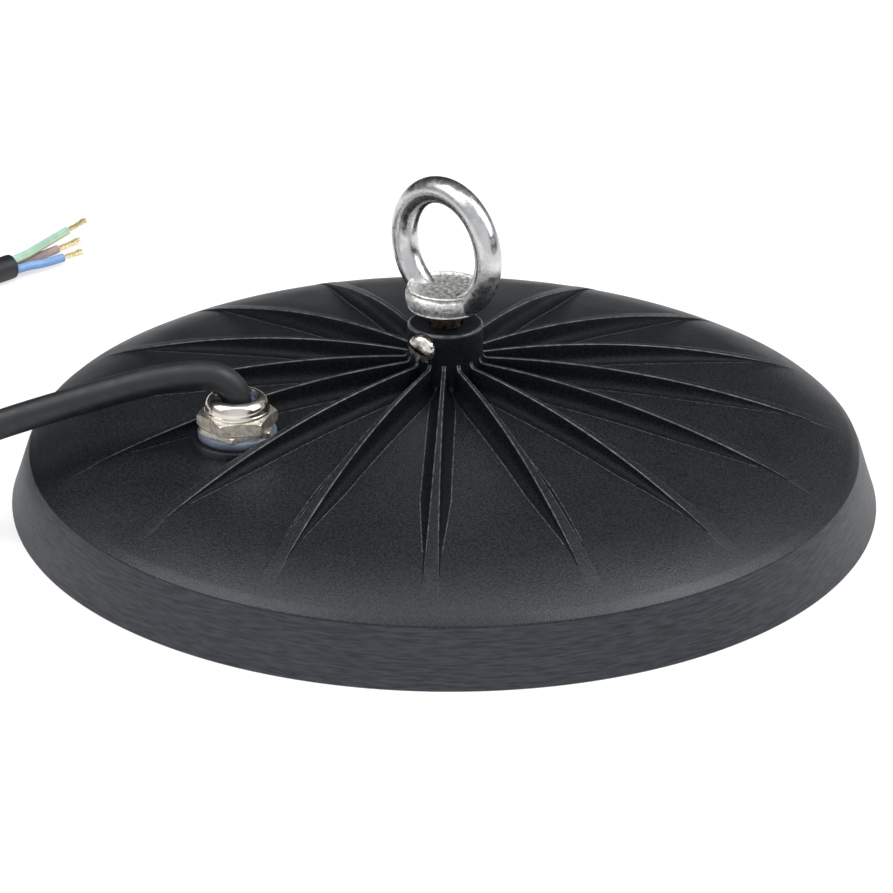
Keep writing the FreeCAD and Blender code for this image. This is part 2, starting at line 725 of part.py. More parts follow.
def lead(side, start_deg, run_z):
    """A core from the stripped jacket through the board to the terminal block."""
    inward = polar(1.0, BOARD_HOLE_DEG)
    across = polar(side * LEAD_PITCH / 2, BOARD_HOLE_DEG + 90)
    spread = polar(CORE_SPREAD, GLAND_DEG + start_deg)
    low_z = BOARD_Z - TERMINAL_H / 2
    mid_z = BOARD_SEAT_Z + CORE_D / 2 + 1.0
    points = [
        gland_axis(JACKET_IN_Z) + spread,
        gland_axis(run_z) + spread,
        polar(49.0, -104.0, (run_z + mid_z) / 2) + across * 0.8,
        polar(36.0, -107.5, mid_z) + across,
        inward * (BOARD_HOLE_AT_R + 2.5) + across + Vector(0, 0, BOARD_SEAT_Z + 1.8),
        inward * (BOARD_HOLE_AT_R - 2.5) + across + Vector(0, 0, low_z),
        inward * TERMINAL_AT_R + across + Vector(0, 0, low_z),
    ]
    return bent_wire(points, CORE_D)


def earth_lead():
    start = gland_axis(JACKET_IN_Z) + polar(CORE_SPREAD, GLAND_DEG - 90)
    end = lug_barrel_end()
    along = lug_direction()
    points = [
        start,
        Vector(start.x, start.y, end.z - 0.4),
        end + along * 3.0,
        end - along * 3.0,
    ]
    return bent_wire(points, CORE_D)


def lug_direction():
    toward = gland_axis() - earth_centre()
    return toward.normalize()


def lug_barrel_end():
    return earth_centre(EARTH_FACE_Z - LUG_BARREL_R) + lug_direction() * (LUG_R + LUG_BARREL_LENGTH)


def earth_lug():
    """Ring lug under the earth screw, with the barrel that grips the lead."""
    low = EARTH_FACE_Z - LUG_T
    plate = disc(LUG_R, low, EARTH_FACE_Z, earth_centre())
    axis = lug_direction()
    start = earth_centre(EARTH_FACE_Z - LUG_BARREL_R) + axis * (LUG_R - 0.6)
    barrel = Part.makeCylinder(LUG_BARREL_R, LUG_BARREL_LENGTH + 0.6, start, axis)
    inside = Part.makeCylinder(CORE_D / 2 + FIT, LUG_BARREL_LENGTH, start + axis * 2.0, axis)
    hole = disc(BOARD_SCREW_D / 2 + 0.1, low - 1, EARTH_FACE_Z + 1, earth_centre())
    room = disc(SCREW_HEAD_R + 0.1, low - 4, low, earth_centre())
    return plate.fuse(barrel).cut([inside, hole, room])


def earth_screw():
    screw = pan_screw(BOARD_SCREW_D / 2, LUG_T + EARTH_SCREW_DEPTH - 1, SCREW_HEAD_R, SCREW_HEAD_H,
                      SCREW_HEAD_R * 0.6, 0.8)
    return laid(screw, earth_centre(EARTH_FACE_Z - LUG_T), Vector(0, 0, -1))


def board_screws():
    screw = pan_screw(BOARD_SCREW_D / 2, BOARD_T + SCREW_DEPTH - 1, SCREW_HEAD_R, SCREW_HEAD_H,
                      SCREW_HEAD_R * 0.6, 0.8)
    return Part.makeCompound([
        laid(screw, polar(BOARD_SCREW_AT_R, board_screw_deg(number), BOARD_Z), Vector(0, 0, -1))
        for number in range(BOARD_SCREW_COUNT)])


# Lens plate: clear polycarbonate with a dome over each LED, on a silicone gasket

def lens_plate():
    plate = disc(LENS_R, LENS_Z, LENS_SEAT_Z)
    dome = revolved([
        (0, LENS_Z - LENS_DOME_H),
        (LENS_DOME_TOP_R, LENS_Z - LENS_DOME_H),
        (LENS_DOME_R * 0.75, LENS_Z - LENS_DOME_H * 0.6),
        (LENS_DOME_R, LENS_Z),
        (LENS_DOME_R, LENS_Z + 0.5),
        (0, LENS_Z + 0.5),
    ])
    domes = []
    for radius, degrees in led_places():
        copy = dome.copy()
        copy.translate(polar(radius, degrees))
        domes.append(copy)
    plate = plate.multiFuse(domes)
    cuts = []
    for number in range(LENS_SCREW_COUNT):
        centre = polar(LENS_SCREW_AT_R, lens_screw_deg(number))
        cuts.append(disc(LENS_SCREW_D / 2 + 0.2, LENS_Z - 1, LENS_SEAT_Z + 1, centre))
    return plate.cut(cuts)


def lens_gasket():
    return ring(GROOVE_IN_R + FIT, GROOVE_OUT_R - FIT, LENS_SEAT_Z, LENS_SEAT_Z + GROOVE_DEPTH - FIT)


def lens_screws():
    screw = pan_screw(LENS_SCREW_D / 2, LENS_T + SCREW_DEPTH - 1, SCREW_HEAD_R, SCREW_HEAD_H,
                      SCREW_HEAD_R * 0.6, 0.8)
    return Part.makeCompound([
        laid(screw, polar(LENS_SCREW_AT_R, lens_screw_deg(number), LENS_Z), Vector(0, 0, -1))
        for number in range(LENS_SCREW_COUNT)])


# All the pieces, each written to its own file

nodes = {
    "housing": housing(),
    "eye_bolt": eye_bolt(),
    "eye_lock_screw": eye_lock_screw(),
    "gland_washer": gland_washer(),
    "gland_body": gland_body(),
    "gland_cap_nut": gland_cap_nut(),
    "gland_seal": gland_seal(),
    "supply_cable": supply_cable(),
    "supply_cable_coil": supply_cable_coil(),
    "supply_cable_end": supply_cable_end(),
    "cable_tail": cable_tail(),
    "core_green_yellow": core_end("green_yellow"),
    "core_brown": core_end("brown"),
    "core_blue": core_end("blue"),
    "core_strands": core_strands(),
    "lead_brown": lead(1, 150, JACKET_IN_Z - 1.9),
    "lead_blue": lead(-1, 30, BOARD_SEAT_Z + CORE_D / 2 + 0.1),
    "lead_earth": earth_lead(),
    "earth_lug": earth_lug(),
    "earth_screw": earth_screw(),
    "led_board": led_board(),
    "leds": leds(),
    "terminal_block": terminal_block(),
    "varistor": disc(VARISTOR_R, BOARD_Z - VARISTOR_H, BOARD_Z, polar(VARISTOR_AT_R, VARISTOR_DEG)),
    "fuse": block(FUSE_SIZE[:2], FUSE_SIZE[2], FUSE_AT_R, FUSE_DEG),
    "bridge_rectifier": block(RECTIFIER_SIZE[:2], RECTIFIER_SIZE[2], RECTIFIER_AT_R, RECTIFIER_DEG),
    "driver_chips": driver_chips(),
    "board_screws": board_screws(),
    "lens_plate": lens_plate(),
    "lens_gasket": lens_gasket(),
    "lens_screws": lens_screws(),
}

os.makedirs("parts", exist_ok=True)
for name, shape in nodes.items():
    solids = len(shape.Solids)
    valid = shape.isValid()
    print(f"{name}: {solids} solids, valid {valid}, {shape.Volume / 1000:.3f} cm3")
    shape.exportStep(f"parts/{name}.step")
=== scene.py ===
import math

import bpy
from mathutils import Matrix, Vector


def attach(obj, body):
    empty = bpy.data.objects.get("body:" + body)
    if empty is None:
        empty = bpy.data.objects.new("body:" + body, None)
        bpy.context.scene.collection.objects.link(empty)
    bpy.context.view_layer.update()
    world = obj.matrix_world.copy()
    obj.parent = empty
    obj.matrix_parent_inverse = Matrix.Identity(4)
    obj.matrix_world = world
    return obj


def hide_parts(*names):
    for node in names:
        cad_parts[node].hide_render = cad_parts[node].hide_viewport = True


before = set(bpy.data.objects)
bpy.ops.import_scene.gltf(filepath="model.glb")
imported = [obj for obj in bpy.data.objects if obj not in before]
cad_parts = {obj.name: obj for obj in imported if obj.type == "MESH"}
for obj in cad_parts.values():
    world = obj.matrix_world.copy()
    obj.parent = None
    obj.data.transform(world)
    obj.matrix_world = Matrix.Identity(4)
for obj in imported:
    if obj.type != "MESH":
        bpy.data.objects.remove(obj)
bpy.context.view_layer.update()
bpy.ops.object.select_all(action="DESELECT")
scene = bpy.context.scene
scene.view_settings.view_transform = "Standard"


# Camera: a long lens from the right front and above, with the middle of the lamp's rim just below
# the middle of the frame.
CAMERA_AWAY = 0.850
CAMERA_TURN = math.radians(46.8)
CAMERA_RISE = math.radians(25.29)
CAMERA_ROLL = math.radians(0.4)
CAMERA_LENS = 134.97
CAMERA_SENSOR = 36.0
CAMERA_SHIFT_X = 0.0025
CAMERA_SHIFT_Y = 0.0432

camera_data = bpy.data.cameras.new("camera")
camera_data.lens = CAMERA_LENS
camera_data.sensor_width = CAMERA_SENSOR
camera_data.shift_x = CAMERA_SHIFT_X
camera_data.shift_y = CAMERA_SHIFT_Y
camera = bpy.data.objects.new("camera", camera_data)
scene.collection.objects.link(camera)
camera_back = Vector((
    math.sin(CAMERA_TURN) * math.cos(CAMERA_RISE),
    -math.cos(CAMERA_TURN) * math.cos(CAMERA_RISE),
    math.sin(CAMERA_RISE)))
camera.matrix_world = (
    Matrix.Translation(camera_back * CAMERA_AWAY)
    @ camera_back.to_track_quat("Z", "Y").to_matrix().to_4x4()
    @ Matrix.Rotation(CAMERA_ROLL, 4, "Z"))
scene.camera = camera


# Supply cable: one length of round three-core cable, black rubber, 7.2 mm thick. It leaves the
# gland, passes over the rim, rests in a neat coil and ends where its jacket was cut off square.
# Sizes are in mm, here and below, and MM turns them into metres.
MM = 0.001
CABLE_D = 7.2
GLAND_X = -11.824
GLAND_Y = -57.599
CABLE_EXIT_Z = 34.6
COIL_X = -145.4
COIL_Y = -94.5
COIL_OUTER_R = 39.6
COIL_PITCH = 7.3
COIL_START_DEG = -83.2
COIL_TURNED_DEG = 1175
COIL_STEP_DEG = 25
COIL_INWARD_DEG = (290, 360)
COIL_UPWARD_DEG = (615, 685)
COIL_OUTWARD_DEG = (950, 1015)
CABLE_EXIT = Vector((GLAND_X, GLAND_Y, CABLE_EXIT_Z))
CABLE_FIRST = (
    (GLAND_X, GLAND_Y, 37.6), (-12.7, -58.5, 40.4), (-14.4, -60.3, 42.3), (-16.5, -62.4, 43.2),
    (-20.5, -66.6, 43.1), (-27.2, -73.9, 41.3), (-36.4, -83.8, 37.2), (-50.6, -99.2, 30.4),
    (-65.0, -114.5, 22.0), (-82.0, -126.0, 11.0), (-102.0, -130.5, 3.6), (-122.8, -131.7, 3.6))
CABLE_LAST = (
    (-185.3, -76.0, 10.9), (-186.4, -56.5, 7.0), (-186.1, -36.5, 3.6), (-187.0, -16.0, 3.6),
    (-188.2, 3.0, 3.6))


def eased(value, start, end):
    """0 before start, 1 after end, and a smooth climb between them."""
    share = min(1.0, max(0.0, (value - start) / (end - start)))
    return share * share * (3 - 2 * share)


def coil_point(turned):
    """Where the cable's middle is after so many degrees of the coil, in mm."""
    inward = eased(turned, *COIL_INWARD_DEG) - eased(turned, *COIL_OUTWARD_DEG)
    radius = (COIL_OUTER_R - COIL_PITCH * inward) / math.cos(math.radians(COIL_STEP_DEG / 2))
    height = CABLE_D / 2 + COIL_PITCH * eased(turned, *COIL_UPWARD_DEG)
    angle = math.radians(COIL_START_DEG - turned)
    return (COIL_X + radius * math.cos(angle), COIL_Y + radius * math.sin(angle), height)


cable_points = [tuple(CABLE_EXIT)] + list(CABLE_FIRST)
for step in range(COIL_TURNED_DEG // COIL_STEP_DEG + 1):
    cable_points.append(coil_point(step * COIL_STEP_DEG))
cable_points += list(CABLE_LAST)


def laid_curve(name, points, diameter, thickness_steps):
    """A round cord along a NURBS line through these control points, given in mm."""
    data = bpy.data.curves.new(name, "CURVE")
    data.dimensions = "3D"
    data.bevel_depth = diameter / 2 * MM
    data.bevel_resolution = thickness_steps
    data.use_fill_caps = True
    spline = data.splines.new("NURBS")
    spline.points.add(len(points) - 1)
    for control, point in zip(spline.points, points):
        control.co = (point[0] * MM, point[1] * MM, point[2] * MM, 1.0)
    spline.order_u = 3
    spline.use_endpoint_u = True
    spline.resolution_u = 8
    piece = bpy.data.objects.new(name, data)
    scene.collection.objects.link(piece)
    return piece


def node(material, kind, settings=None, links=None):
    """Adds a node with its settings and with what feeds its sockets."""
    made = material.node_tree.nodes.new(kind)
    for name, value in (settings or {}).items():
        if name in made.inputs:
            made.inputs[name].default_value = value
        else:
            setattr(made, name, value)
    for name, source in (links or {}).items():
        material.node_tree.links.new(source, made.inputs[name])
    return made


def linear(code):
    """An sRGB hex colour as linear red, green, blue and alpha."""
    values = []
    for start in (1, 3, 5):
        part = int(code[start:start + 2], 16) / 255
        values.append(part / 12.92 if part <= 0.04045 else ((part + 0.055) / 1.055) ** 2.4)
    return (values[0], values[1], values[2], 1.0)


def material_named(name):
    """An empty material with its Principled shader and its output."""
    made = bpy.data.materials.new(name)
    made.use_nodes = True
    return made, made.node_tree.nodes["Principled BSDF"]


def feed(material, source, socket):
    material.node_tree.links.new(source, socket)


def noise(material, size):
    """Clouds of about this size in mm, in the piece's own space."""
    place = node(material, "ShaderNodeTexCoord")
    return node(material, "ShaderNodeTexNoise", {"Scale": 1 / (size * MM), "Detail": 2.0},
                {"Vector": place.outputs["Object"]}).outputs["Fac"]


# The noise of the clouds seldom leaves this span, so tones and roughness run over it.
CLOUD_LOW = 0.35
CLOUD_HIGH = 0.65


def two_tones(material, clouds, dark, light):
    """A colour that drifts between two tones as the clouds do."""
    ramp = node(material, "ShaderNodeValToRGB", links={"Fac": clouds})
    for stop, position, tone in zip(ramp.color_ramp.elements, (CLOUD_LOW, CLOUD_HIGH), (dark, light)):
        stop.position = position
        stop.color = linear(tone)
    return ramp.outputs["Color"]


def toned(material, shader, size, dark, light):
    """Lets the colour drift between two close tones."""
    colour = two_tones(material, noise(material, size), dark, light)
    feed(material, colour, shader.inputs["Base Color"])


def grained(material, shader, size, depth):
    """A fine relief of clouds of this size and depth in mm."""
    relief = node(material, "ShaderNodeBump", {"Distance": depth * MM}, {"Height": noise(material, size)})
    feed(material, relief.outputs["Normal"], shader.inputs["Normal"])


def worn(material, shader, size, smooth, rough):
    """Lets the roughness drift between two values."""
    span = node(material, "ShaderNodeMapRange",
                {"From Min": CLOUD_LOW, "From Max": CLOUD_HIGH, "To Min": smooth, "To Max": rough},
                {"Value": noise(material, size)})
    feed(material, span.outputs["Result"], shader.inputs["Roughness"])


# Extruded rubber jacket: dull grey-black, with the faint bloom and fine skin of a drawn surface.
cable_rubber, shader = material_named("extruded_rubber_jacket")
toned(cable_rubber, shader, 5.0, "#121518", "#1b1f23")
worn(cable_rubber, shader, 3.0, 0.42, 0.56)
grained(cable_rubber, shader, 0.4, 0.03)

cable = laid_curve("rubber_cable", cable_points, CABLE_D, 7)
cable.data.materials.append(cable_rubber)
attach(cable, "root")
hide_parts("supply_cable", "supply_cable_coil", "supply_cable_end")


# Stripped end: three cores in coloured PVC, green with a yellow stripe, brown and blue, fanned out
# from the cut jacket, with 7 to 11 mm of twisted wire bared on each. The wires are fine
# brass-coloured copper. Each core is given by its name, its points and the length of its wires.
CORE_D = 2.5
CORE_TRIM = 0.8
STRIPE_SIDE = Vector((0.89, 0.45, 0.0))
STRIPE_LEAST_TURNED = 0.91
STRAND_D = 1.5
STRAND_WIRES = 7
STRAND_WIRE_R = 0.26
STRAND_TWIST_DEG = 210
STRAND_STEPS = 8
STRAND_HIDDEN = 0.5
CORES = (
    ("green_yellow",
     ((-188.2, 3.01, 5.3), (-188.52, 8.0, 5.3), (-193.5, 17.6, 4.5), (-201.4, 33.8, 3.2)), 11.4),
    ("brown",
     ((-189.7, 2.91, 2.75), (-190.02, 7.9, 2.75), (-193.0, 16.0, 1.6), (-194.8, 25.4, 1.5)), 9.0),
    ("blue",
     ((-186.7, 3.1, 2.75), (-187.02, 8.1, 2.75), (-186.3, 13.6, 2.2), (-187.2, 21.8, 1.9)), 6.9))
CORE_TONES = {
    "green_yellow": ("#9dc8b1", "#acd5be"),
    "brown": ("#a28c88", "#b09a96"),
    "blue": ("#719dcf", "#81abdc"),
}

# Fine drawn wire, bright where it catches the light and dark between the wires.
copper, shader = material_named("bared_copper_strands")
toned(copper, shader, 0.8, "#d6bd85", "#fbedc2")
shader.inputs["Metallic"].default_value = 0.8
shader.inputs["Roughness"].default_value = 0.45

# Plasticised PVC, extruded: smooth, with a soft shine. The stripe is a second colour in its skin.
stripe_yellow, shader = material_named("pvc_core_stripe")
toned(stripe_yellow, shader, 4.0, "#cbd8a6", "#d8e2b6")
shader.inputs["Roughness"].default_value = 0.4


def only(piece):
    """Selects this piece alone and makes it the active one."""
    bpy.ops.object.select_all(action="DESELECT")
    piece.select_set(True)
    bpy.context.view_layer.objects.active = piece


for name, points, bare in CORES:
    back = (Vector(points[-2]) - Vector(points[-1])).normalized() * CORE_TRIM
    points = points[:-1] + (tuple(Vector(points[-1]) + back),)
    bare += CORE_TRIM
    insulation, shader = material_named("pvc_core_" + name)
    toned(insulation, shader, 4.0, *CORE_TONES[name])
    shader.inputs["Roughness"].default_value = 0.4
    shader.inputs["IOR"].default_value = 1.53
    grained(insulation, shader, 0.5, 0.02)
    core = laid_curve("core_" + name + "_insulation", points, CORE_D, 7)
    core.data.materials.append(insulation)
    if name == "green_yellow":
        core.data.materials.append(stripe_yellow)
        only(core)
        bpy.ops.object.convert(target="MESH")
        for polygon in core.data.polygons:
            turned_to = abs(polygon.normal.dot(STRIPE_SIDE))
            polygon.material_index = int(turned_to > STRIPE_LEAST_TURNED)
    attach(core, "root")
    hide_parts("core_" + name)
    start = Vector(points[-1])
    along = (start - Vector(points[-2])).normalized()
    side = along.cross(Vector((0, 0, 1))).normalized()
    over = side.cross(along)
    lay_r = STRAND_D / 2 - STRAND_WIRE_R
    # Six wires twist round a middle one. Some splay outwards and some are a little shorter.
    for number in range(STRAND_WIRES):
        path = []
        for step in range(STRAND_STEPS + 1):
            far = step / STRAND_STEPS
            angle = math.radians(number * 60 + STRAND_TWIST_DEG * far)
            middle = number == STRAND_WIRES - 1
            reach = 0.0 if middle else lay_r * (1 + 0.25 * far * (number % 3))
            inset = -STRAND_HIDDEN if step == 0 else 0.0
            centre = start + along * (bare * far * (1 - 0.03 * (number % 2)) + inset)
            path.append(tuple(centre + side * math.cos(angle) * reach + over * math.sin(angle) * reach))
        strand = laid_curve(f"strand_{name}_{number}", path, STRAND_WIRE_R * 2, 2)
        strand.data.materials.append(copper)
        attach(strand, "root")
        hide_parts("core_strands")


# Housing: one aluminium die casting, powder coated black after its skirt was turned. Sixteen
# thin ribs run from the boss for the eye bolt out to the shoulder, where they sink into the dome.
RIM_R = 109.0
SKIRT_TOP_R = 104.2
SKIRT_H = 14.3
SKIRT_ROUND_R = 1.1
DOME_TOP_Z = 30.3
SHOULDER_R = 82.0
SHOULDER_Z = 23.0
BOSS_R = 9.4
BOSS_TOP_Z = 44.8
BOSS_BORE_R = 4.05
BOSS_BORE_DEPTH = 13.0
BOSS_ROUND_R = 0.8
BOSS_FOOT_R = 1.2
RIB_COUNT = 16
RIB_TOP_W = 1.0
RIB_DRAFT = math.radians(4.7)
RIB_TOP_Z = 35.7
RIB_MID_R = 60.0
RIB_MID_Z = 29.9
RIB_END_R = 97.5
RIB_END_Z = 18.6
RIB_SINK_START_R = RIB_END_R - 9.0
RIB_SINK_END_R = RIB_END_R + 0.6
RIB_FOOT_R = 2.4
RIB_EDGE_R = 0.28
RIB_LEAST_H = 0.35
RIB_SUNK_H = 0.002
FOOT_LINE_W = 0.3
FOOT_LINE_END = 84.0
RIB_COATS_END = 91.0
FIELD_END_R = SKIRT_TOP_R - 0.9
LENS_SEAT_Z = 5.6
LENS_RECESS_R = 101.4
BOARD_WELL_R = 89.0
BOARD_SEAT_Z = 12.0


def circle_through(a, b, c):
    """Centre and radius of the circle through three points."""
    d = 2 * (a[0] * (b[1] - c[1]) + b[0] * (c[1] - a[1]) + c[0] * (a[1] - b[1]))
    squares = [point[0] ** 2 + point[1] ** 2 for point in (a, b, c)]
    x = (squares[0] * (b[1] - c[1]) + squares[1] * (c[1] - a[1]) + squares[2] * (a[1] - b[1])) / d
    y = (squares[0] * (c[0] - b[0]) + squares[1] * (a[0] - c[0]) + squares[2] * (b[0] - a[0])) / d
    return (x, y), math.hypot(a[0] - x, a[1] - y)


CROWN_DROP = DOME_TOP_Z - SHOULDER_Z
CROWN_R = (SHOULDER_R ** 2 + CROWN_DROP ** 2) / (2 * CROWN_DROP)
SHOULDER_SLOPE = SHOULDER_R / math.sqrt(CROWN_R ** 2 - SHOULDER_R ** 2)
SHOULDER_DOWN = math.atan(SHOULDER_SLOPE)
SHOULDER_CHORD = math.hypot(SKIRT_TOP_R - SHOULDER_R, SHOULDER_Z - SKIRT_H)
SHOULDER_TURN = math.atan2(SHOULDER_Z - SKIRT_H, SKIRT_TOP_R - SHOULDER_R) - SHOULDER_DOWN
SHOULDER_ARC_R = SHOULDER_CHORD / (2 * math.sin(SHOULDER_TURN))
SHOULDER_CENTRE = (SHOULDER_R - SHOULDER_ARC_R * math.sin(SHOULDER_DOWN),
                   SHOULDER_Z - SHOULDER_ARC_R * math.cos(SHOULDER_DOWN))


def dome_z(radius):
    """Height of the dome, its flat crown or its rounder shoulder."""
    if radius < SHOULDER_R:
        return DOME_TOP_Z - CROWN_R + math.sqrt(CROWN_R ** 2 - radius ** 2)
    return SHOULDER_CENTRE[1] + math.sqrt(SHOULDER_ARC_R ** 2 - (radius - SHOULDER_CENTRE[0]) ** 2)


RIB_CENTRE, RIB_ARC_R = circle_through(
    (BOSS_R, RIB_TOP_Z), (RIB_MID_R, RIB_MID_Z), (RIB_END_R, RIB_END_Z))


def rib_top_z(radius):
    """Height of the rib's top, which runs along one arc."""
    return RIB_CENTRE[1] + math.sqrt(RIB_ARC_R ** 2 - (radius - RIB_CENTRE[0]) ** 2)


def half_rib(radius):
    """Across half a rib and half the field beside it: offsets and heights, rib top first."""
    ground = dome_z(radius)
    left = 1 - eased(radius, RIB_SINK_START_R, RIB_SINK_END_R)
    top = ground + RIB_SUNK_H + max(0.0, rib_top_z(radius) - ground) * left
    half_sector = radius * math.pi / RIB_COUNT
    half = RIB_TOP_W / 2 + math.tan(RIB_DRAFT) * (RIB_TOP_Z - rib_top_z(min(radius, RIB_END_R)))
    share = min(1.0, (top - ground) / RIB_LEAST_H)
    height = max(top - ground, RIB_LEAST_H)
    top = ground + height
    base = half + math.tan(RIB_DRAFT) * height
    foot = max(0.001, min(RIB_FOOT_R, 0.75 * height, 0.97 * half_sector - base))
    edge = min(RIB_EDGE_R, 0.2 * height)
    places = [(0.0, top), ((half - edge) * 0.6, top), (half - edge, top)]
    for degrees in (62, 34, 6):
        turn = math.radians(degrees)
        places.append((half - edge + edge * math.cos(turn), top - edge + edge * math.sin(turn)))
    centre_z = ground + foot
    centre_y = half + math.tan(RIB_DRAFT) * (top - centre_z) + foot / math.cos(RIB_DRAFT)
    lowest = places[-1]
    first = (centre_y - foot * math.cos(RIB_DRAFT), centre_z - foot * math.sin(RIB_DRAFT))
    places.append(((lowest[0] + first[0]) / 2, (lowest[1] + first[1]) / 2))
    for step in range(7):
        turn = math.pi + RIB_DRAFT + (math.pi / 2 - RIB_DRAFT) * step / 6
        places.append((centre_y + foot * math.cos(turn), centre_z + foot * math.sin(turn)))
    start = places[-1][0]
    start += min(FOOT_LINE_W, 0.2 * (half_sector - start))
    for step in range(8):
        places.append((start + (half_sector - start) * step / 7, ground))
    return [(offset, ground + (z - ground) * share) for offset, z in places]


def spaced(start, end, count):
    """Even steps from start, with the end left out."""
    return [start + (end - start) * step / count for step in range(count)]


# Rows of the mesh from the boss's bore over its rim and wall, out over the ribbed field and down
# the skirt, then in under the rim to the seats of the lens plate and the board. They lie closest
# where the ribs leave the boss and where they sink into the shoulder.
field_radii = [BOSS_R, 9.55, 9.8, 10.15, 10.6]
field_radii += spaced(11.2, 30.0, 12) + spaced(30.0, 84.0, 26) + spaced(84.0, 99.0, 24)
field_radii += spaced(99.0, FIELD_END_R, 5)
wall_rows = [(BOSS_BORE_R, BOSS_TOP_Z - BOSS_BORE_DEPTH), (BOSS_BORE_R, BOSS_TOP_Z - 0.4)]
wall_rows += [(BOSS_BORE_R + 0.4, BOSS_TOP_Z), (6.6, BOSS_TOP_Z), (8.4, BOSS_TOP_Z)]
for degrees in (80, 60, 40, 20, 0):
    turn = math.radians(degrees)
    wall_rows.append((BOSS_R - BOSS_ROUND_R + BOSS_ROUND_R * math.cos(turn),
                      BOSS_TOP_Z - BOSS_ROUND_R + BOSS_ROUND_R * math.sin(turn)))
wall_rows += [(BOSS_R, 42.0), (BOSS_R, 40.0), (BOSS_R, 38.0), (BOSS_R, 36.6)]
skirt_rows = []
for degrees in (58, 50, 42, 34, 26, 18.5):
    turn = math.radians(degrees)
    skirt_rows.append((SKIRT_TOP_R - 1.05 + SKIRT_ROUND_R * math.cos(turn),
                       SKIRT_H - 1.0 + SKIRT_ROUND_R * math.sin(turn)))
for step in range(1, 7):
    share = (step + 0.4) / 7.4
    skirt_rows.append((SKIRT_TOP_R + (RIM_R - SKIRT_TOP_R) * share, SKIRT_H * (1 - share)))
skirt_rows += [(RIM_R - 0.05, 0.35), (RIM_R - 0.22, 0.08), (RIM_R - 0.5, 0.0)]
skirt_rows += [(LENS_RECESS_R + 0.4, 0.0), (LENS_RECESS_R + 0.1, 0.12), (LENS_RECESS_R, 0.45)]
skirt_rows += [(LENS_RECESS_R, LENS_SEAT_Z - 0.2), (LENS_RECESS_R - 0.2, LENS_SEAT_Z)]
skirt_rows += [(95.0, LENS_SEAT_Z), (BOARD_WELL_R + 0.3, LENS_SEAT_Z), (BOARD_WELL_R, LENS_SEAT_Z + 0.3)]
skirt_rows += [(BOARD_WELL_R, BOARD_SEAT_Z), (60.0, BOARD_SEAT_Z), (14.0, BOARD_SEAT_Z)]

WELD = 0.000004
columns = len(half_rib(RIB_MID_R))
sector = 2 * math.pi / RIB_COUNT


def sector_row(heights):
    """One row of a whole sector's points, from (angle, radius, height) of its half."""
    left = [(-angle, radius, z) for angle, radius, z in reversed(heights)]
    return left + heights[1:]


grid = []
boss_angles = [offset / BOSS_R for offset, z in half_rib(BOSS_R)]
for radius, z in wall_rows:
    grid.append(sector_row([(angle, radius, z) for angle in boss_angles]))
for radius in field_radii:
    blend = max(0.0, BOSS_FOOT_R - (radius - BOSS_R))
    lift = BOSS_FOOT_R - math.sqrt(BOSS_FOOT_R ** 2 - blend ** 2)
    grid.append(sector_row([(offset / radius, radius, z + lift) for offset, z in half_rib(radius)]))
outer_angles = [offset / FIELD_END_R for offset, z in half_rib(FIELD_END_R)]
for radius, z in skirt_rows:
    grid.append(sector_row([(angle, radius, z) for angle in outer_angles]))

# Black powder coat over a casting: satin, faintly blue in its shine, with the fine sandy peel of
# baked powder, drawn a little coarser than it is so that it shows. The sizes are those of its
# grain, of the speckle in its tones and of the drift in its gloss.
SAND = 0.48
SPECKLE = 0.55
DRIFT = 12.0
COAT_TINT = linear("#eaeff6")

powder_coat, shader = material_named("black_powder_coat")
toned(powder_coat, shader, SPECKLE, "#060607", "#212326")
worn(powder_coat, shader, DRIFT, 0.36, 0.42)
grained(powder_coat, shader, SAND, 0.06)
shader.inputs["IOR"].default_value = 1.5
shader.inputs["Specular Tint"].default_value = COAT_TINT

# The same coat on sharp edges, where it is thin and paler, and lighter still as a painted highlight along
# the rib tops and round the boss's rim.
edge_painted_highlight_coat, shader = material_named("powder_coat_thin_on_edges_with_painted_highlight")
toned(edge_painted_highlight_coat, shader, 2.0, "#2b2e31", "#5c6065")
worn(edge_painted_highlight_coat, shader, 6.0, 0.28, 0.38)

# The same coat on the turned skirt, where the lathe's marks show through it as fine level streaks.
STREAK_LONG = 5.0
STREAK_HIGH = 0.45

skirt_coat, shader = material_named("powder_coat_on_turned_skirt")
shader.inputs["Roughness"].default_value = 0.48
shader.inputs["IOR"].default_value = 1.5
shader.inputs["Specular Tint"].default_value = COAT_TINT
place = node(skirt_coat, "ShaderNodeTexCoord")
level = node(skirt_coat, "ShaderNodeMapping",
             {"Scale": (1 / STREAK_LONG, 1 / STREAK_LONG, 1 / STREAK_HIGH)},
             {"Vector": place.outputs["Object"]})
streaks = node(skirt_coat, "ShaderNodeTexNoise", {"Scale": 1 / MM, "Detail": 3.0},
               {"Vector": level.outputs["Vector"]})
streak_tones = two_tones(skirt_coat, streaks.outputs["Fac"], "#202225", "#393b3f")
feed(skirt_coat, streak_tones, shader.inputs["Base Color"])
sand = node(skirt_coat, "ShaderNodeBump", {"Distance": 0.02 * MM}, {"Height": noise(skirt_coat, SAND)})
lines = node(skirt_coat, "ShaderNodeBump", {"Distance": 0.03 * MM},
             {"Height": streaks.outputs["Fac"], "Normal": sand.outputs["Normal"]})
feed(skirt_coat, lines.outputs["Normal"], shader.inputs["Normal"])

# The same coat on the steep flanks of the ribs and the boss, darker and duller: painted shade in the
# valleys between the ribs and on the boss's wall.
flank_painted_shade_coat, shader = material_named("powder_coat_with_painted_shade_on_steep_flanks")
toned(flank_painted_shade_coat, shader, SPECKLE, "#08090a", "#181a1c")
worn(flank_painted_shade_coat, shader, DRIFT, 0.42, 0.52)
shader.inputs["IOR"].default_value = 1.2
shader.inputs["Specular Tint"].default_value = COAT_TINT
grained(flank_painted_shade_coat, shader, SAND, 0.08)
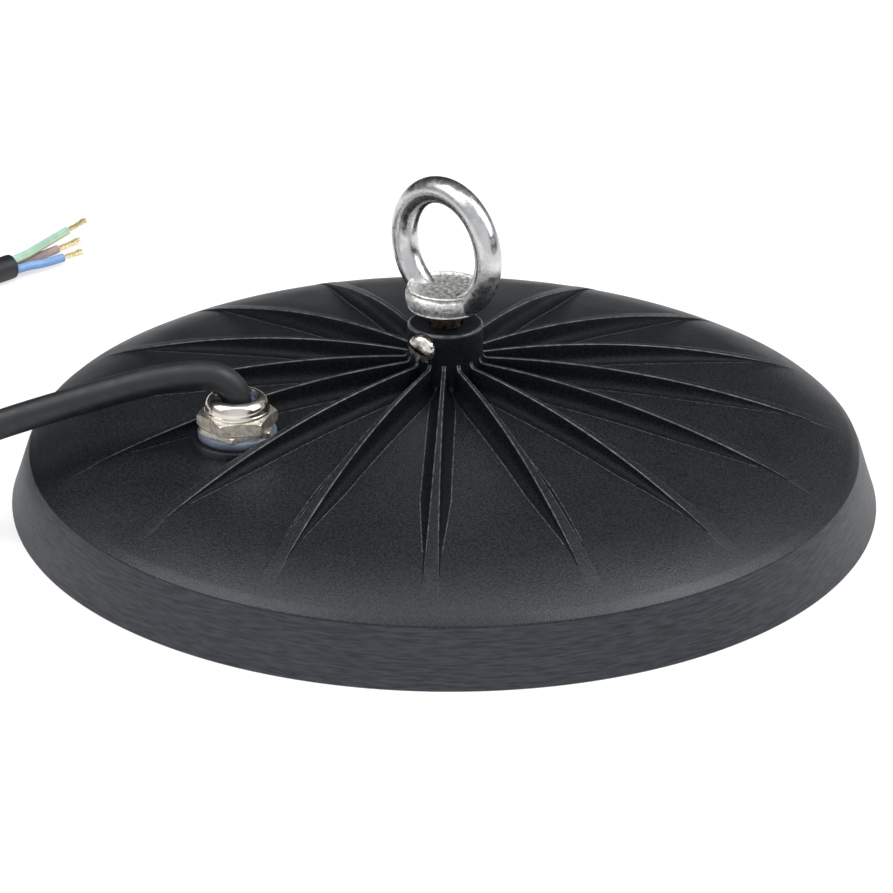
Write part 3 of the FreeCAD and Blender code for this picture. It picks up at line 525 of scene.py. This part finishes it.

# The same coat where a rib's foot runs out into the dome: a thin paler line there is a painted highlight.
foot_painted_highlight_coat, shader = material_named("powder_coat_with_painted_highlight_at_rib_feet")
toned(foot_painted_highlight_coat, shader, 1.2, "#282a2d", "#505358")
worn(foot_painted_highlight_coat, shader, DRIFT, 0.36, 0.42)
shader.inputs["Specular Tint"].default_value = COAT_TINT

coats = (powder_coat, edge_painted_highlight_coat, skirt_coat, flank_painted_shade_coat, foot_painted_highlight_coat)
POWDER, EDGE, SKIRT, FLANK, FOOT = range(len(coats))

bpy.ops.mesh.primitive_grid_add(x_subdivisions=len(grid[0]) - 1, y_subdivisions=len(grid) - 1, size=2)
housing = bpy.context.object
housing.name = "cast_housing"
for coat in coats:
    housing.data.materials.append(coat)
order = sorted(housing.data.vertices, key=lambda vertex: (round(vertex.co.y, 5), round(vertex.co.x, 5)))
for number, vertex in enumerate(order):
    angle, radius, z = grid[number // len(grid[0])][number % len(grid[0])]
    vertex.co = Vector((radius * math.cos(angle), radius * math.sin(angle), z)) * MM

# Which coat a face wears goes by its row and by how many faces it is from the middle of a rib.
# Faces on the edges of the rib tops: paler coat with a painted highlight.
RIB_EDGE_FACES = (2, 3, 4)
# Faces on the rib flanks, and below the boss's rim its wall: darker coat with painted shade.
RIB_FLANK_FACES = range(5, 13)
# The thin line at the rib feet: paler coat with a painted highlight.
FOOT_LINE_FACE = 13
# The boss's rounded rim: paler coat with a painted highlight.
BOSS_RIM_ROWS = (5, 6, 7)
SKIRT_ROUND_ROWS = 5
place_in_order = {vertex.index: number for number, vertex in enumerate(order)}
for polygon in housing.data.polygons:
    places = [place_in_order[corner] for corner in polygon.vertices]
    row = min(place // len(grid[0]) for place in places)
    nearest = min(abs(place % len(grid[0]) - columns + 1) for place in places)
    on_field = len(wall_rows) <= row < len(wall_rows) + len(field_radii)
    reach = field_radii[row - len(wall_rows)] if on_field else 0.0
    coat = POWDER
    if on_field and reach <= RIB_COATS_END:
        if nearest in RIB_EDGE_FACES:
            coat = EDGE
        elif nearest in RIB_FLANK_FACES:
            coat = FLANK
        elif nearest == FOOT_LINE_FACE and reach < FOOT_LINE_END:
            coat = FOOT
    elif row in BOSS_RIM_ROWS:
        coat = EDGE
    elif BOSS_RIM_ROWS[-1] + 2 <= row < len(wall_rows):
        coat = FLANK
    elif row >= len(wall_rows) + len(field_radii) + SKIRT_ROUND_ROWS:
        coat = SKIRT
    polygon.material_index = coat

# One sector is copied round the axis, the copies are welded, and the bore's bottom and the middle of
# the board's seat are closed.
sectors = [housing]
for number in range(1, RIB_COUNT):
    copy = housing.copy()
    copy.data = housing.data.copy()
    copy.data.transform(Matrix.Rotation(number * sector, 4, "Z"))
    scene.collection.objects.link(copy)
    sectors.append(copy)
for piece in sectors:
    piece.select_set(True)
bpy.context.view_layer.objects.active = housing
bpy.ops.object.join()
bpy.ops.object.mode_set(mode="EDIT")
bpy.ops.mesh.select_all(action="SELECT")
bpy.ops.mesh.remove_doubles(threshold=WELD)
bpy.ops.mesh.select_all(action="DESELECT")
bpy.ops.mesh.select_non_manifold()
bpy.ops.mesh.edge_face_add()
bpy.ops.mesh.select_all(action="SELECT")
bpy.ops.mesh.normals_make_consistent(inside=False)
bpy.ops.object.mode_set(mode="OBJECT")

# The gland's seat: a flat round pad that stands out of the dome and is spot-faced with the rib
# feet beside it, and a shallow flat in the boss for the head of the lock screw.
PAD_R = 11.0
PAD_Z = 27.4
PAD_EDGE_R = 0.25
SPOT_FACE_R = PAD_R - 0.9
LOCK_DEG = -78.75
LOCK_Z = 40.8
LOCK_SEAT_R = 4.0
LOCK_SEAT_AT = 9.0


def drum(name, radius, low, high, steps):
    """A round bar along Z through the origin, sizes in mm."""
    bpy.ops.object.select_all(action="DESELECT")
    bpy.ops.mesh.primitive_cylinder_add(vertices=steps, radius=radius * MM, depth=(high - low) * MM,
                                        location=(0, 0, 0))
    piece = bpy.context.object
    piece.name = name
    piece.data.transform(Matrix.Translation((0, 0, (low + high) / 2 * MM)))
    return piece


def shaped(piece, tool, operation):
    """Cuts a piece with a tool, joins the tool to it, or keeps what both share."""
    change = piece.modifiers.new("shape", "BOOLEAN")
    change.operation = operation
    change.solver = "EXACT"
    change.object = tool
    change.material_mode = "TRANSFER" if tool.data.materials else "INDEX"
    only(piece)
    bpy.ops.object.modifier_apply(modifier="shape")
    bpy.data.objects.remove(tool)
    return piece


ONTO_LOCK_AXIS = (
    Matrix.Translation((0, 0, LOCK_Z * MM))
    @ Matrix.Rotation(math.radians(LOCK_DEG), 4, "Z")
    @ Matrix.Rotation(math.pi / 2, 4, "Y"))
ONTO_GLAND_AXIS = Matrix.Translation((GLAND_X * MM, GLAND_Y * MM, 0))
spot_face = drum("spot_face", SPOT_FACE_R, PAD_Z - 0.04, 46.0, 96)
spot_face.data.transform(ONTO_GLAND_AXIS)
shaped(housing, spot_face, "DIFFERENCE")
seat_cut = drum("seat_cut", LOCK_SEAT_R, LOCK_SEAT_AT, 14.0, 64)
seat_cut.data.transform(ONTO_LOCK_AXIS)
shaped(housing, seat_cut, "DIFFERENCE")
pad = drum("pad", PAD_R, 18.0, PAD_Z, 96)
bpy.ops.object.mode_set(mode="EDIT")
bpy.ops.mesh.select_all(action="DESELECT")
bpy.ops.object.mode_set(mode="OBJECT")
for edge in pad.data.edges:
    edge.select = all(pad.data.vertices[corner].co.z > (PAD_Z - 0.1) * MM for corner in edge.vertices)
bpy.ops.object.mode_set(mode="EDIT")
bpy.ops.mesh.select_mode(type="EDGE")
bpy.ops.mesh.bevel(offset=PAD_EDGE_R * MM, segments=3)
bpy.ops.object.mode_set(mode="OBJECT")
pad.data.transform(ONTO_GLAND_AXIS)
shaped(housing, pad, "UNION")

only(housing)
bpy.ops.object.shade_smooth_by_angle(angle=math.radians(40))
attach(housing, "root")
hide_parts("housing")


# Eye bolt: M8 lifting eye, drop forged in stainless steel, its ring tumbled bright and its collar
# left as forged. The thread below the collar shows above the boss.
COLLAR_Z = 49.1
THREAD_PITCH = 1.25
THREAD_CORE_R = 3.35
THREAD_R = 3.95
EYE_R = 14.7
EYE_WIRE_R = 3.3
EYE_Z = 64.5
EYE_TURN = math.radians(1.3)


def turned(name, outline, steps, centre=(0.0, 0.0)):
    """A piece turned on the lathe: an outline of (radius, height) in mm, drawn point by point by
    extruding, and spun about its axis."""
    bpy.ops.object.select_all(action="DESELECT")
    bpy.ops.mesh.primitive_plane_add(size=MM, location=(0, 0, 0))
    piece = bpy.context.object
    piece.name = name
    bpy.ops.object.mode_set(mode="EDIT")
    bpy.ops.mesh.select_mode(type="VERT")
    bpy.ops.mesh.select_all(action="SELECT")
    bpy.ops.mesh.merge(type="CENTER")
    bpy.ops.transform.translate(value=(outline[0][0] * MM, 0, outline[0][1] * MM))
    for before, after in zip(outline, outline[1:]):
        step = ((after[0] - before[0]) * MM, 0, (after[1] - before[1]) * MM)
        bpy.ops.mesh.extrude_region_move(TRANSFORM_OT_translate={"value": step})
    bpy.ops.mesh.select_all(action="SELECT")
    bpy.ops.mesh.spin(steps=steps, angle=2 * math.pi, center=(0, 0, 0), axis=(0, 0, 1))
    bpy.ops.mesh.select_all(action="SELECT")
    bpy.ops.mesh.remove_doubles(threshold=0.000002)
    bpy.ops.mesh.normals_make_consistent(inside=False)
    bpy.ops.object.mode_set(mode="OBJECT")
    piece.data.transform(Matrix.Translation((centre[0] * MM, centre[1] * MM, 0.0)))
    return piece


def joined(pieces, name):
    """Joins these pieces to the first of them."""
    only(pieces[0])
    for piece in pieces:
        piece.select_set(True)
    bpy.ops.object.join()
    pieces[0].name = name
    return pieces[0]


# Stainless steel, forged and tumbled bright: soft streaks and shallow dents break its reflections.
tumbled, shader = material_named("tumbled_stainless_steel")
toned(tumbled, shader, 7.0, "#b9b9ba", "#d4d3d2")
shader.inputs["Metallic"].default_value = 1.0
worn(tumbled, shader, 1.6, 0.18, 0.34)
grained(tumbled, shader, 2.2, 0.05)

# The same steel as it left the die: grainy and uneven.
forged, shader = material_named("stainless_steel_as_forged")
toned(forged, shader, 0.9, "#bdbcba", "#f2f1ee")
shader.inputs["Metallic"].default_value = 1.0
worn(forged, shader, 1.0, 0.42, 0.62)
grained(forged, shader, 0.8, 0.14)

# Rolled thread, brownish and dark.
thread_steel, shader = material_named("dark_brownish_thread")
toned(thread_steel, shader, 1.2, "#1d1813", "#6e6152")
shader.inputs["Metallic"].default_value = 0.8
shader.inputs["Roughness"].default_value = 0.4

collar = turned("collar", [
    (0, 49.1), (8.5, 49.1), (9.2, 49.12), (9.4, 49.3), (9.3, 49.55), (9.4, 49.9), (9.75, 50.6),
    (9.93, 51.4), (10.0, 52.2), (9.95, 52.9), (9.75, 53.3), (9.35, 53.5), (9.25, 53.65), (9.45, 53.85),
    (9.62, 54.1), (9.62, 54.4), (9.4, 54.65), (9.05, 54.7), (8.75, 54.5), (8.5, 54.2), (8.1, 54.05),
    (4.0, 54.0), (0, 54.0)], 96)
shank_outline = [(0, 33.5), (THREAD_CORE_R, 33.5)]
for number in range(12):
    low = 33.6 + THREAD_PITCH * number
    shank_outline += [(THREAD_CORE_R, low), (THREAD_R, low + 0.5), (THREAD_R, low + 0.65),
                      (THREAD_CORE_R, low + 1.15)]
shank_outline += [(THREAD_CORE_R, 49.2), (0, 49.2)]
shank = turned("shank", shank_outline, 48)
bpy.ops.object.select_all(action="DESELECT")
bpy.ops.mesh.primitive_torus_add(
    major_radius=EYE_R * MM, minor_radius=EYE_WIRE_R * MM, major_segments=160, minor_segments=48,
    location=(0, 0, 0), rotation=(math.pi / 2, 0, EYE_TURN))
ring = bpy.context.object
ring.data.transform(Matrix.Translation((0, 0, EYE_Z * MM)) @ ring.matrix_world)
ring.matrix_world = Matrix.Identity(4)
# The ring ends inside the collar.
shaped(ring, drum("below_collar", 14.0, 40.0, COLLAR_Z + 0.4, 64), "DIFFERENCE")
for part, steel in ((ring, tumbled), (collar, forged), (shank, thread_steel)):
    part.data.materials.append(steel)
eye = joined([ring, collar, shank], "eye_bolt_forging")
bpy.ops.object.shade_smooth_by_angle(angle=math.radians(40))
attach(eye, "root")
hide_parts("eye_bolt")


# Lock screw: an M4 pan head with a slot across its cross recess, turned and zinc plated. It goes
# through the side of the boss against the eye bolt's thread.
zinc, shader = material_named("yellowish_zinc_plate")
toned(zinc, shader, 1.2, "#cdc8bb", "#f0ede4")
shader.inputs["Metallic"].default_value = 1.0
worn(zinc, shader, 0.8, 0.16, 0.32)
grained(zinc, shader, 0.8, 0.05)

# Dark brownish colour in the screw's slot and recess: painted shade over a brownish residue.
recess_shade_and_residue, shader = material_named("painted_shade_and_residue_in_screw_recess")
toned(recess_shade_and_residue, shader, 0.8, "#2b2620", "#5e564a")
shader.inputs["Roughness"].default_value = 0.6
shader.inputs["Metallic"].default_value = 0.5

LOCK_SLOT_DEG = 70.0
lock_screw = turned("lock_screw", [
    (0, 5.0), (1.9, 5.0), (1.9, 9.0), (3.5, 9.0), (3.68, 9.15), (3.75, 9.5), (3.7, 10.3), (3.45, 10.9),
    (2.9, 11.35), (2.1, 11.6), (1.0, 11.7), (0, 11.7)], 64)
lock_screw.data.materials.append(zinc)
# The slot, then the two arms of the cross recess: turn, length, width and depth.
for turn_deg, long, wide, deep in ((0, 9.0, 1.1, 1.1), (45, 3.6, 1.1, 1.9), (135, 3.6, 1.1, 1.9)):
    bpy.ops.object.select_all(action="DESELECT")
    bpy.ops.mesh.primitive_cube_add(size=1, location=(0, 0, 0))
    cutter = bpy.context.object
    cutter.data.transform(
        Matrix.Rotation(math.radians(turn_deg), 4, "Z") @ Matrix.Translation((0, 0, (12.5 - deep) * MM))
        @ Matrix.Diagonal((long * MM, wide * MM, 2.0 * MM, 1.0)))
    # The cut faces take the painted shade of the recess.
    cutter.data.materials.append(recess_shade_and_residue)
    shaped(lock_screw, cutter, "DIFFERENCE")
lock_screw.data.transform(ONTO_LOCK_AXIS @ Matrix.Rotation(math.radians(LOCK_SLOT_DEG), 4, "Z"))
bpy.ops.object.shade_smooth_by_angle(angle=math.radians(30))
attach(lock_screw, "root")
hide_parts("eye_lock_screw")


# Cable gland: nickel-plated brass, a hexagonal body screwed into the housing and a domed cap nut
# on it, over a blue-grey rubber washer. The cap presses the seal onto the cable.
WASHER_TOP = 29.5
CAP_Z = 30.9
GLAND_HEX_AF = 17.0
CAP_FLAT_DEG = -94.8
BODY_FLAT_DEG = -77.6

nickel, shader = material_named("nickel_plated_brass")
toned(nickel, shader, 4.0, "#cdc5b8", "#ded8ce")
shader.inputs["Metallic"].default_value = 1.0
worn(nickel, shader, 2.0, 0.13, 0.24)
grained(nickel, shader, 3.0, 0.03)

# The same plating on the milled flats: satin, wiped by spanners.
nickel_flats, shader = material_named("nickel_plate_on_milled_flats")
toned(nickel_flats, shader, 1.2, "#bab3a7", "#ded8ce")
shader.inputs["Metallic"].default_value = 1.0
worn(nickel_flats, shader, 1.0, 0.38, 0.56)
grained(nickel_flats, shader, 0.8, 0.05)

HEX_CORNER_R = GLAND_HEX_AF / 2 / math.cos(math.pi / 6)


def hexagonal(name, low, high, flat_deg):
    """A hexagon bar on the gland's axis, one flat facing this way."""
    bpy.ops.object.select_all(action="DESELECT")
    bpy.ops.mesh.primitive_cylinder_add(vertices=6, radius=HEX_CORNER_R * MM, depth=(high - low) * MM,
                                        location=(0, 0, 0))
    piece = bpy.context.object
    piece.name = name
    piece.data.transform(Matrix.Translation((GLAND_X * MM, GLAND_Y * MM, (low + high) / 2 * MM))
                         @ Matrix.Rotation(math.radians(flat_deg), 4, "Z"))
    return piece


body_hex = hexagonal("gland_hexagon", WASHER_TOP, CAP_Z - 0.12, BODY_FLAT_DEG)
body_round = turned("body_round", [
    (0, WASHER_TOP), (9.3, WASHER_TOP), (9.78, 29.75), (9.85, 30.1), (9.78, 30.5), (9.4, 30.78),
    (0, 30.78)], 96, (GLAND_X, GLAND_Y))
body_hex = shaped(body_hex, body_round, "INTERSECT")
cap_hex = hexagonal("cap_hexagon", CAP_Z, 34.2, CAP_FLAT_DEG)
chamfer = turned("chamfer", [
    (0, CAP_Z), (9.3, CAP_Z), (9.8, CAP_Z + 0.35), (9.95, CAP_Z + 0.8), (9.95, 33.2), (9.75, 33.5),
    (9.2, 33.8), (8.2, 34.15), (0, 34.15)], 96, (GLAND_X, GLAND_Y))
cap_hex = shaped(cap_hex, chamfer, "INTERSECT")
cap_dome = turned("cap_dome", [
    (6.0, 31.5), (7.6, 31.5), (7.9, 33.3), (8.0, 33.6), (8.02, 34.3), (8.0, 34.75), (7.93, 34.92),
    (7.84, 35.0), (7.8, 35.1), (7.79, 35.25), (7.78, 35.6), (7.7, 36.1), (7.55, 36.6), (7.28, 37.1),
    (6.92, 37.5), (6.45, 37.83), (5.95, 38.03), (5.5, 38.1), (5.2, 38.02), (5.06, 37.8), (5.05, 33.0),
    (6.0, 33.0), (6.0, 31.5)], 128, (GLAND_X, GLAND_Y))
cap_dome.data.materials.append(nickel)
cap_hex.data.materials.append(nickel_flats)
cap = joined([cap_dome, cap_hex], "gland_cap")
bpy.ops.object.shade_smooth_by_angle(angle=math.radians(32))
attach(cap, "root")
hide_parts("gland_cap_nut")
body_hex.data.materials.append(nickel_flats)
only(body_hex)
bpy.ops.object.shade_smooth_by_angle(angle=math.radians(32))
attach(body_hex, "root")
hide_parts("gland_body")

# Moulded rubber washer under the gland, squeezed a little outwards.
washer_rubber, shader = material_named("blue_grey_washer_rubber")
toned(washer_rubber, shader, 4.0, "#505a66", "#6c7886")
worn(washer_rubber, shader, 3.0, 0.35, 0.5)
grained(washer_rubber, shader, 0.5, 0.02)
washer = turned("gland_washer_ring", [
    (6.5, PAD_Z), (9.2, PAD_Z), (9.5, 27.65), (9.62, 28.1), (9.64, 28.5), (9.58, 29.0), (9.4, 29.35),
    (9.1, WASHER_TOP), (6.5, WASHER_TOP), (6.5, PAD_Z)], 96, (GLAND_X, GLAND_Y))
washer.data.materials.append(washer_rubber)
bpy.ops.object.shade_smooth_by_angle(angle=math.radians(50))
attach(washer, "root")
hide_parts("gland_washer")


# Hidden pieces keep their CAD shape: the seal and the cable inside the gland, the leads, the earth
# point, the LED board with its driver parts, the lens plate's gasket and screws. Each gets the
# finish of its real material: its name, two close tones, how metallic it is, the span of its
# roughness, and the size and depth of its relief.
HIDDEN_TONE = 4.0
HIDDEN_WEAR = 2.5
FINISHES = {
    "gland_seal": ("moulded_seal_rubber", "#3d4a66", "#55647f", 0.0, (0.40, 0.50), (0.5, 0.02)),
    "cable_tail": ("jacket_inside_gland", "#17181a", "#222326", 0.0, (0.50, 0.60), (0.5, 0.02)),
    "lead_brown": ("inner_core_brown", "#7a6258", "#8a7166", 0.0, (0.38, 0.44), (0.5, 0.02)),
    "lead_blue": ("inner_core_blue", "#4b86c8", "#5c97d6", 0.0, (0.38, 0.44), (0.5, 0.02)),
    "lead_earth": ("inner_core_earth", "#7fb591", "#c5cf7e", 0.0, (0.38, 0.44), (0.5, 0.02)),
    "earth_lug": ("tinned_copper_lug", "#b3b3ae", "#cfcfca", 1.0, (0.22, 0.34), (0.6, 0.02)),
    "earth_screw": ("zinc_plated_earth_screw", "#aeb2b6", "#c9ccd0", 1.0, (0.22, 0.34), (0.6, 0.02)),
    "led_board": ("white_solder_mask", "#dfe0dd", "#ecece9", 0.0, (0.40, 0.50), (1.2, 0.01)),
    "leds": ("yellow_phosphor", "#dcbb3a", "#ecd05a", 0.0, (0.46, 0.56), (0.3, 0.02)),
    "terminal_block": ("white_polyamide", "#dcdcd4", "#e9e9e3", 0.0, (0.44, 0.54), (0.4, 0.02)),
    "varistor": ("dipped_blue_epoxy", "#224d90", "#2f62ab", 0.0, (0.24, 0.36), (1.5, 0.06)),
    "fuse": ("moulded_fuse_body", "#1b1c1d", "#29292b", 0.0, (0.40, 0.50), (0.3, 0.02)),
    "bridge_rectifier": ("moulded_rectifier_epoxy", "#18191a", "#242526", 0.0, (0.42, 0.52),
                         (0.3, 0.02)),
    "driver_chips": ("moulded_chip_epoxy", "#161718", "#212223", 0.0, (0.42, 0.52), (0.3, 0.02)),
    "board_screws": ("zinc_plated_board_screws", "#aeb2b6", "#c9ccd0", 1.0, (0.22, 0.34), (0.6, 0.02)),
    "lens_gasket": ("white_silicone_rubber", "#d5d5d0", "#e3e3df", 0.0, (0.46, 0.56), (0.6, 0.02)),
    "lens_screws": ("zinc_plated_lens_screws", "#aeb2b6", "#c9ccd0", 1.0, (0.22, 0.34), (0.6, 0.02)),
}
for name, (finish, dark, light, metallic, gloss, grain) in FINISHES.items():
    made, shader = material_named(finish)
    toned(made, shader, HIDDEN_TONE, dark, light)
    shader.inputs["Metallic"].default_value = metallic
    worn(made, shader, HIDDEN_WEAR, *gloss)
    grained(made, shader, *grain)
    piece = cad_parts[name]
    piece.data.materials.clear()
    piece.data.materials.append(made)


# Lens plate: one clear polycarbonate moulding with a small dome over each LED, screwed in under
# the board. It is glossy, with the faint waviness of moulded plastic.
clear_plastic, shader = material_named("clear_polycarbonate")
toned(clear_plastic, shader, 30.0, "#f4f7f8", "#fbfdfd")
shader.inputs["Transmission Weight"].default_value = 1.0
shader.inputs["IOR"].default_value = 1.585
worn(clear_plastic, shader, 15.0, 0.03, 0.07)
grained(clear_plastic, shader, 8.0, 0.02)
lens_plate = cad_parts["lens_plate"]
lens_plate.data.materials.clear()
lens_plate.data.materials.append(clear_plastic)


# Studio: a pale floor that reads white to the eye, to metal and to glass and keeps a faint shadow,
# soft boxes overhead, at the right and at the left, and a room that is light in front of the lamp
# and dark behind it, with a low dark screen to the lamp's right.
FLOOR_GLOW = 0.62
ROOM_DARKEST_TURN = CAMERA_TURN + math.radians(14.0)
SCREEN_TURN = CAMERA_TURN - math.radians(20.0)
SCREEN_SIDE = Vector((math.cos(SCREEN_TURN), math.sin(SCREEN_TURN), 0.12)).normalized()
SCREEN_DARK = 0.06

bpy.ops.object.select_all(action="DESELECT")
bpy.ops.mesh.primitive_plane_add(size=12, location=(0, 0, 0))
floor = bpy.context.object
floor.name = "studio_floor"
paper, shader = material_named("white_studio_paper")
shader.inputs["Base Color"].default_value = linear("#b4b4b4")
shader.inputs["Roughness"].default_value = 0.95
shader.inputs["Specular IOR Level"].default_value = 0.0
shader.inputs["Emission Color"].default_value = linear("#ffffff")
rays = node(paper, "ShaderNodeLightPath")
seen = node(paper, "ShaderNodeMath", {"operation": "MAXIMUM"})
feed(paper, rays.outputs["Is Camera Ray"], seen.inputs[0])
feed(paper, rays.outputs["Is Glossy Ray"], seen.inputs[1])
seen_too = node(paper, "ShaderNodeMath", {"operation": "MAXIMUM"})
feed(paper, seen.outputs[0], seen_too.inputs[0])
feed(paper, rays.outputs["Is Transmission Ray"], seen_too.inputs[1])
glow = node(paper, "ShaderNodeMath", {"operation": "MULTIPLY"})
feed(paper, seen_too.outputs[0], glow.inputs[0])
glow.inputs[1].default_value = FLOOR_GLOW
feed(paper, glow.outputs[0], shader.inputs["Emission Strength"])
floor.data.materials.append(paper)

room = bpy.data.worlds.new("studio")
scene.world = room
room.use_nodes = True
direction = node(room, "ShaderNodeTexCoord")
darkest = node(room, "ShaderNodeVectorMath", {"operation": "DOT_PRODUCT"})
feed(room, direction.outputs["Generated"], darkest.inputs[0])
darkest.inputs[1].default_value = (-math.sin(ROOM_DARKEST_TURN), math.cos(ROOM_DARKEST_TURN), 0.0)
side = node(room, "ShaderNodeMapRange", {"From Min": -1.0, "From Max": 1.0},
            {"Value": darkest.outputs["Value"]})
shades = node(room, "ShaderNodeValToRGB", links={"Fac": side.outputs["Result"]})
shades.color_ramp.elements[0].position = 0.0
shades.color_ramp.elements[0].color = (0.84, 0.87, 0.91, 1.0)
shades.color_ramp.elements[1].position = 1.0
shades.color_ramp.elements[1].color = (0.015, 0.016, 0.018, 1.0)
# Between them come four greys, faintly blue.
for position, level in ((0.5, 0.60), (0.7, 0.34), (0.85, 0.13), (0.95, 0.04)):
    shade = shades.color_ramp.elements.new(position)
    shade.color = (level * 0.97, level * 0.985, level, 1.0)
background = room.node_tree.nodes["Background"]
feed(room, shades.outputs["Color"], background.inputs["Color"])
screen = node(room, "ShaderNodeVectorMath", {"operation": "DOT_PRODUCT"})
feed(room, direction.outputs["Generated"], screen.inputs[0])
screen.inputs[1].default_value = tuple(SCREEN_SIDE)
shaded = node(room, "ShaderNodeMapRange",
              {"From Min": 0.80, "From Max": 0.93, "To Min": 1.0, "To Max": SCREEN_DARK},
              {"Value": screen.outputs["Value"]})
feed(room, shaded.outputs["Result"], background.inputs["Strength"])


PANEL_AWAY = 1.2


def panel(name, turn_deg, rise_deg, wide, high, power):
    """A soft panel lamp that looks at the middle of the floor: sizes in metres, power in watts."""
    data = bpy.data.lights.new(name, "AREA")
    data.shape = "RECTANGLE"
    data.size = wide
    data.size_y = high
    data.energy = power
    light = bpy.data.objects.new(name, data)
    scene.collection.objects.link(light)
    turn = math.radians(turn_deg)
    rise = math.radians(rise_deg)
    back = Vector((math.sin(turn) * math.cos(rise), -math.cos(turn) * math.cos(rise), math.sin(rise)))
    light.matrix_world = (
        Matrix.Translation(back * PANEL_AWAY)
        @ back.to_track_quat("Z", "Y").to_matrix().to_4x4())


panel("soft_box_overhead", 46.8, 86, 0.6, 0.35, 1.8)
panel("soft_box_right", 130.0, 48, 0.75, 1.0, 10.5)
panel("soft_box_left", -33.0, 50, 0.7, 0.9, 7.5)
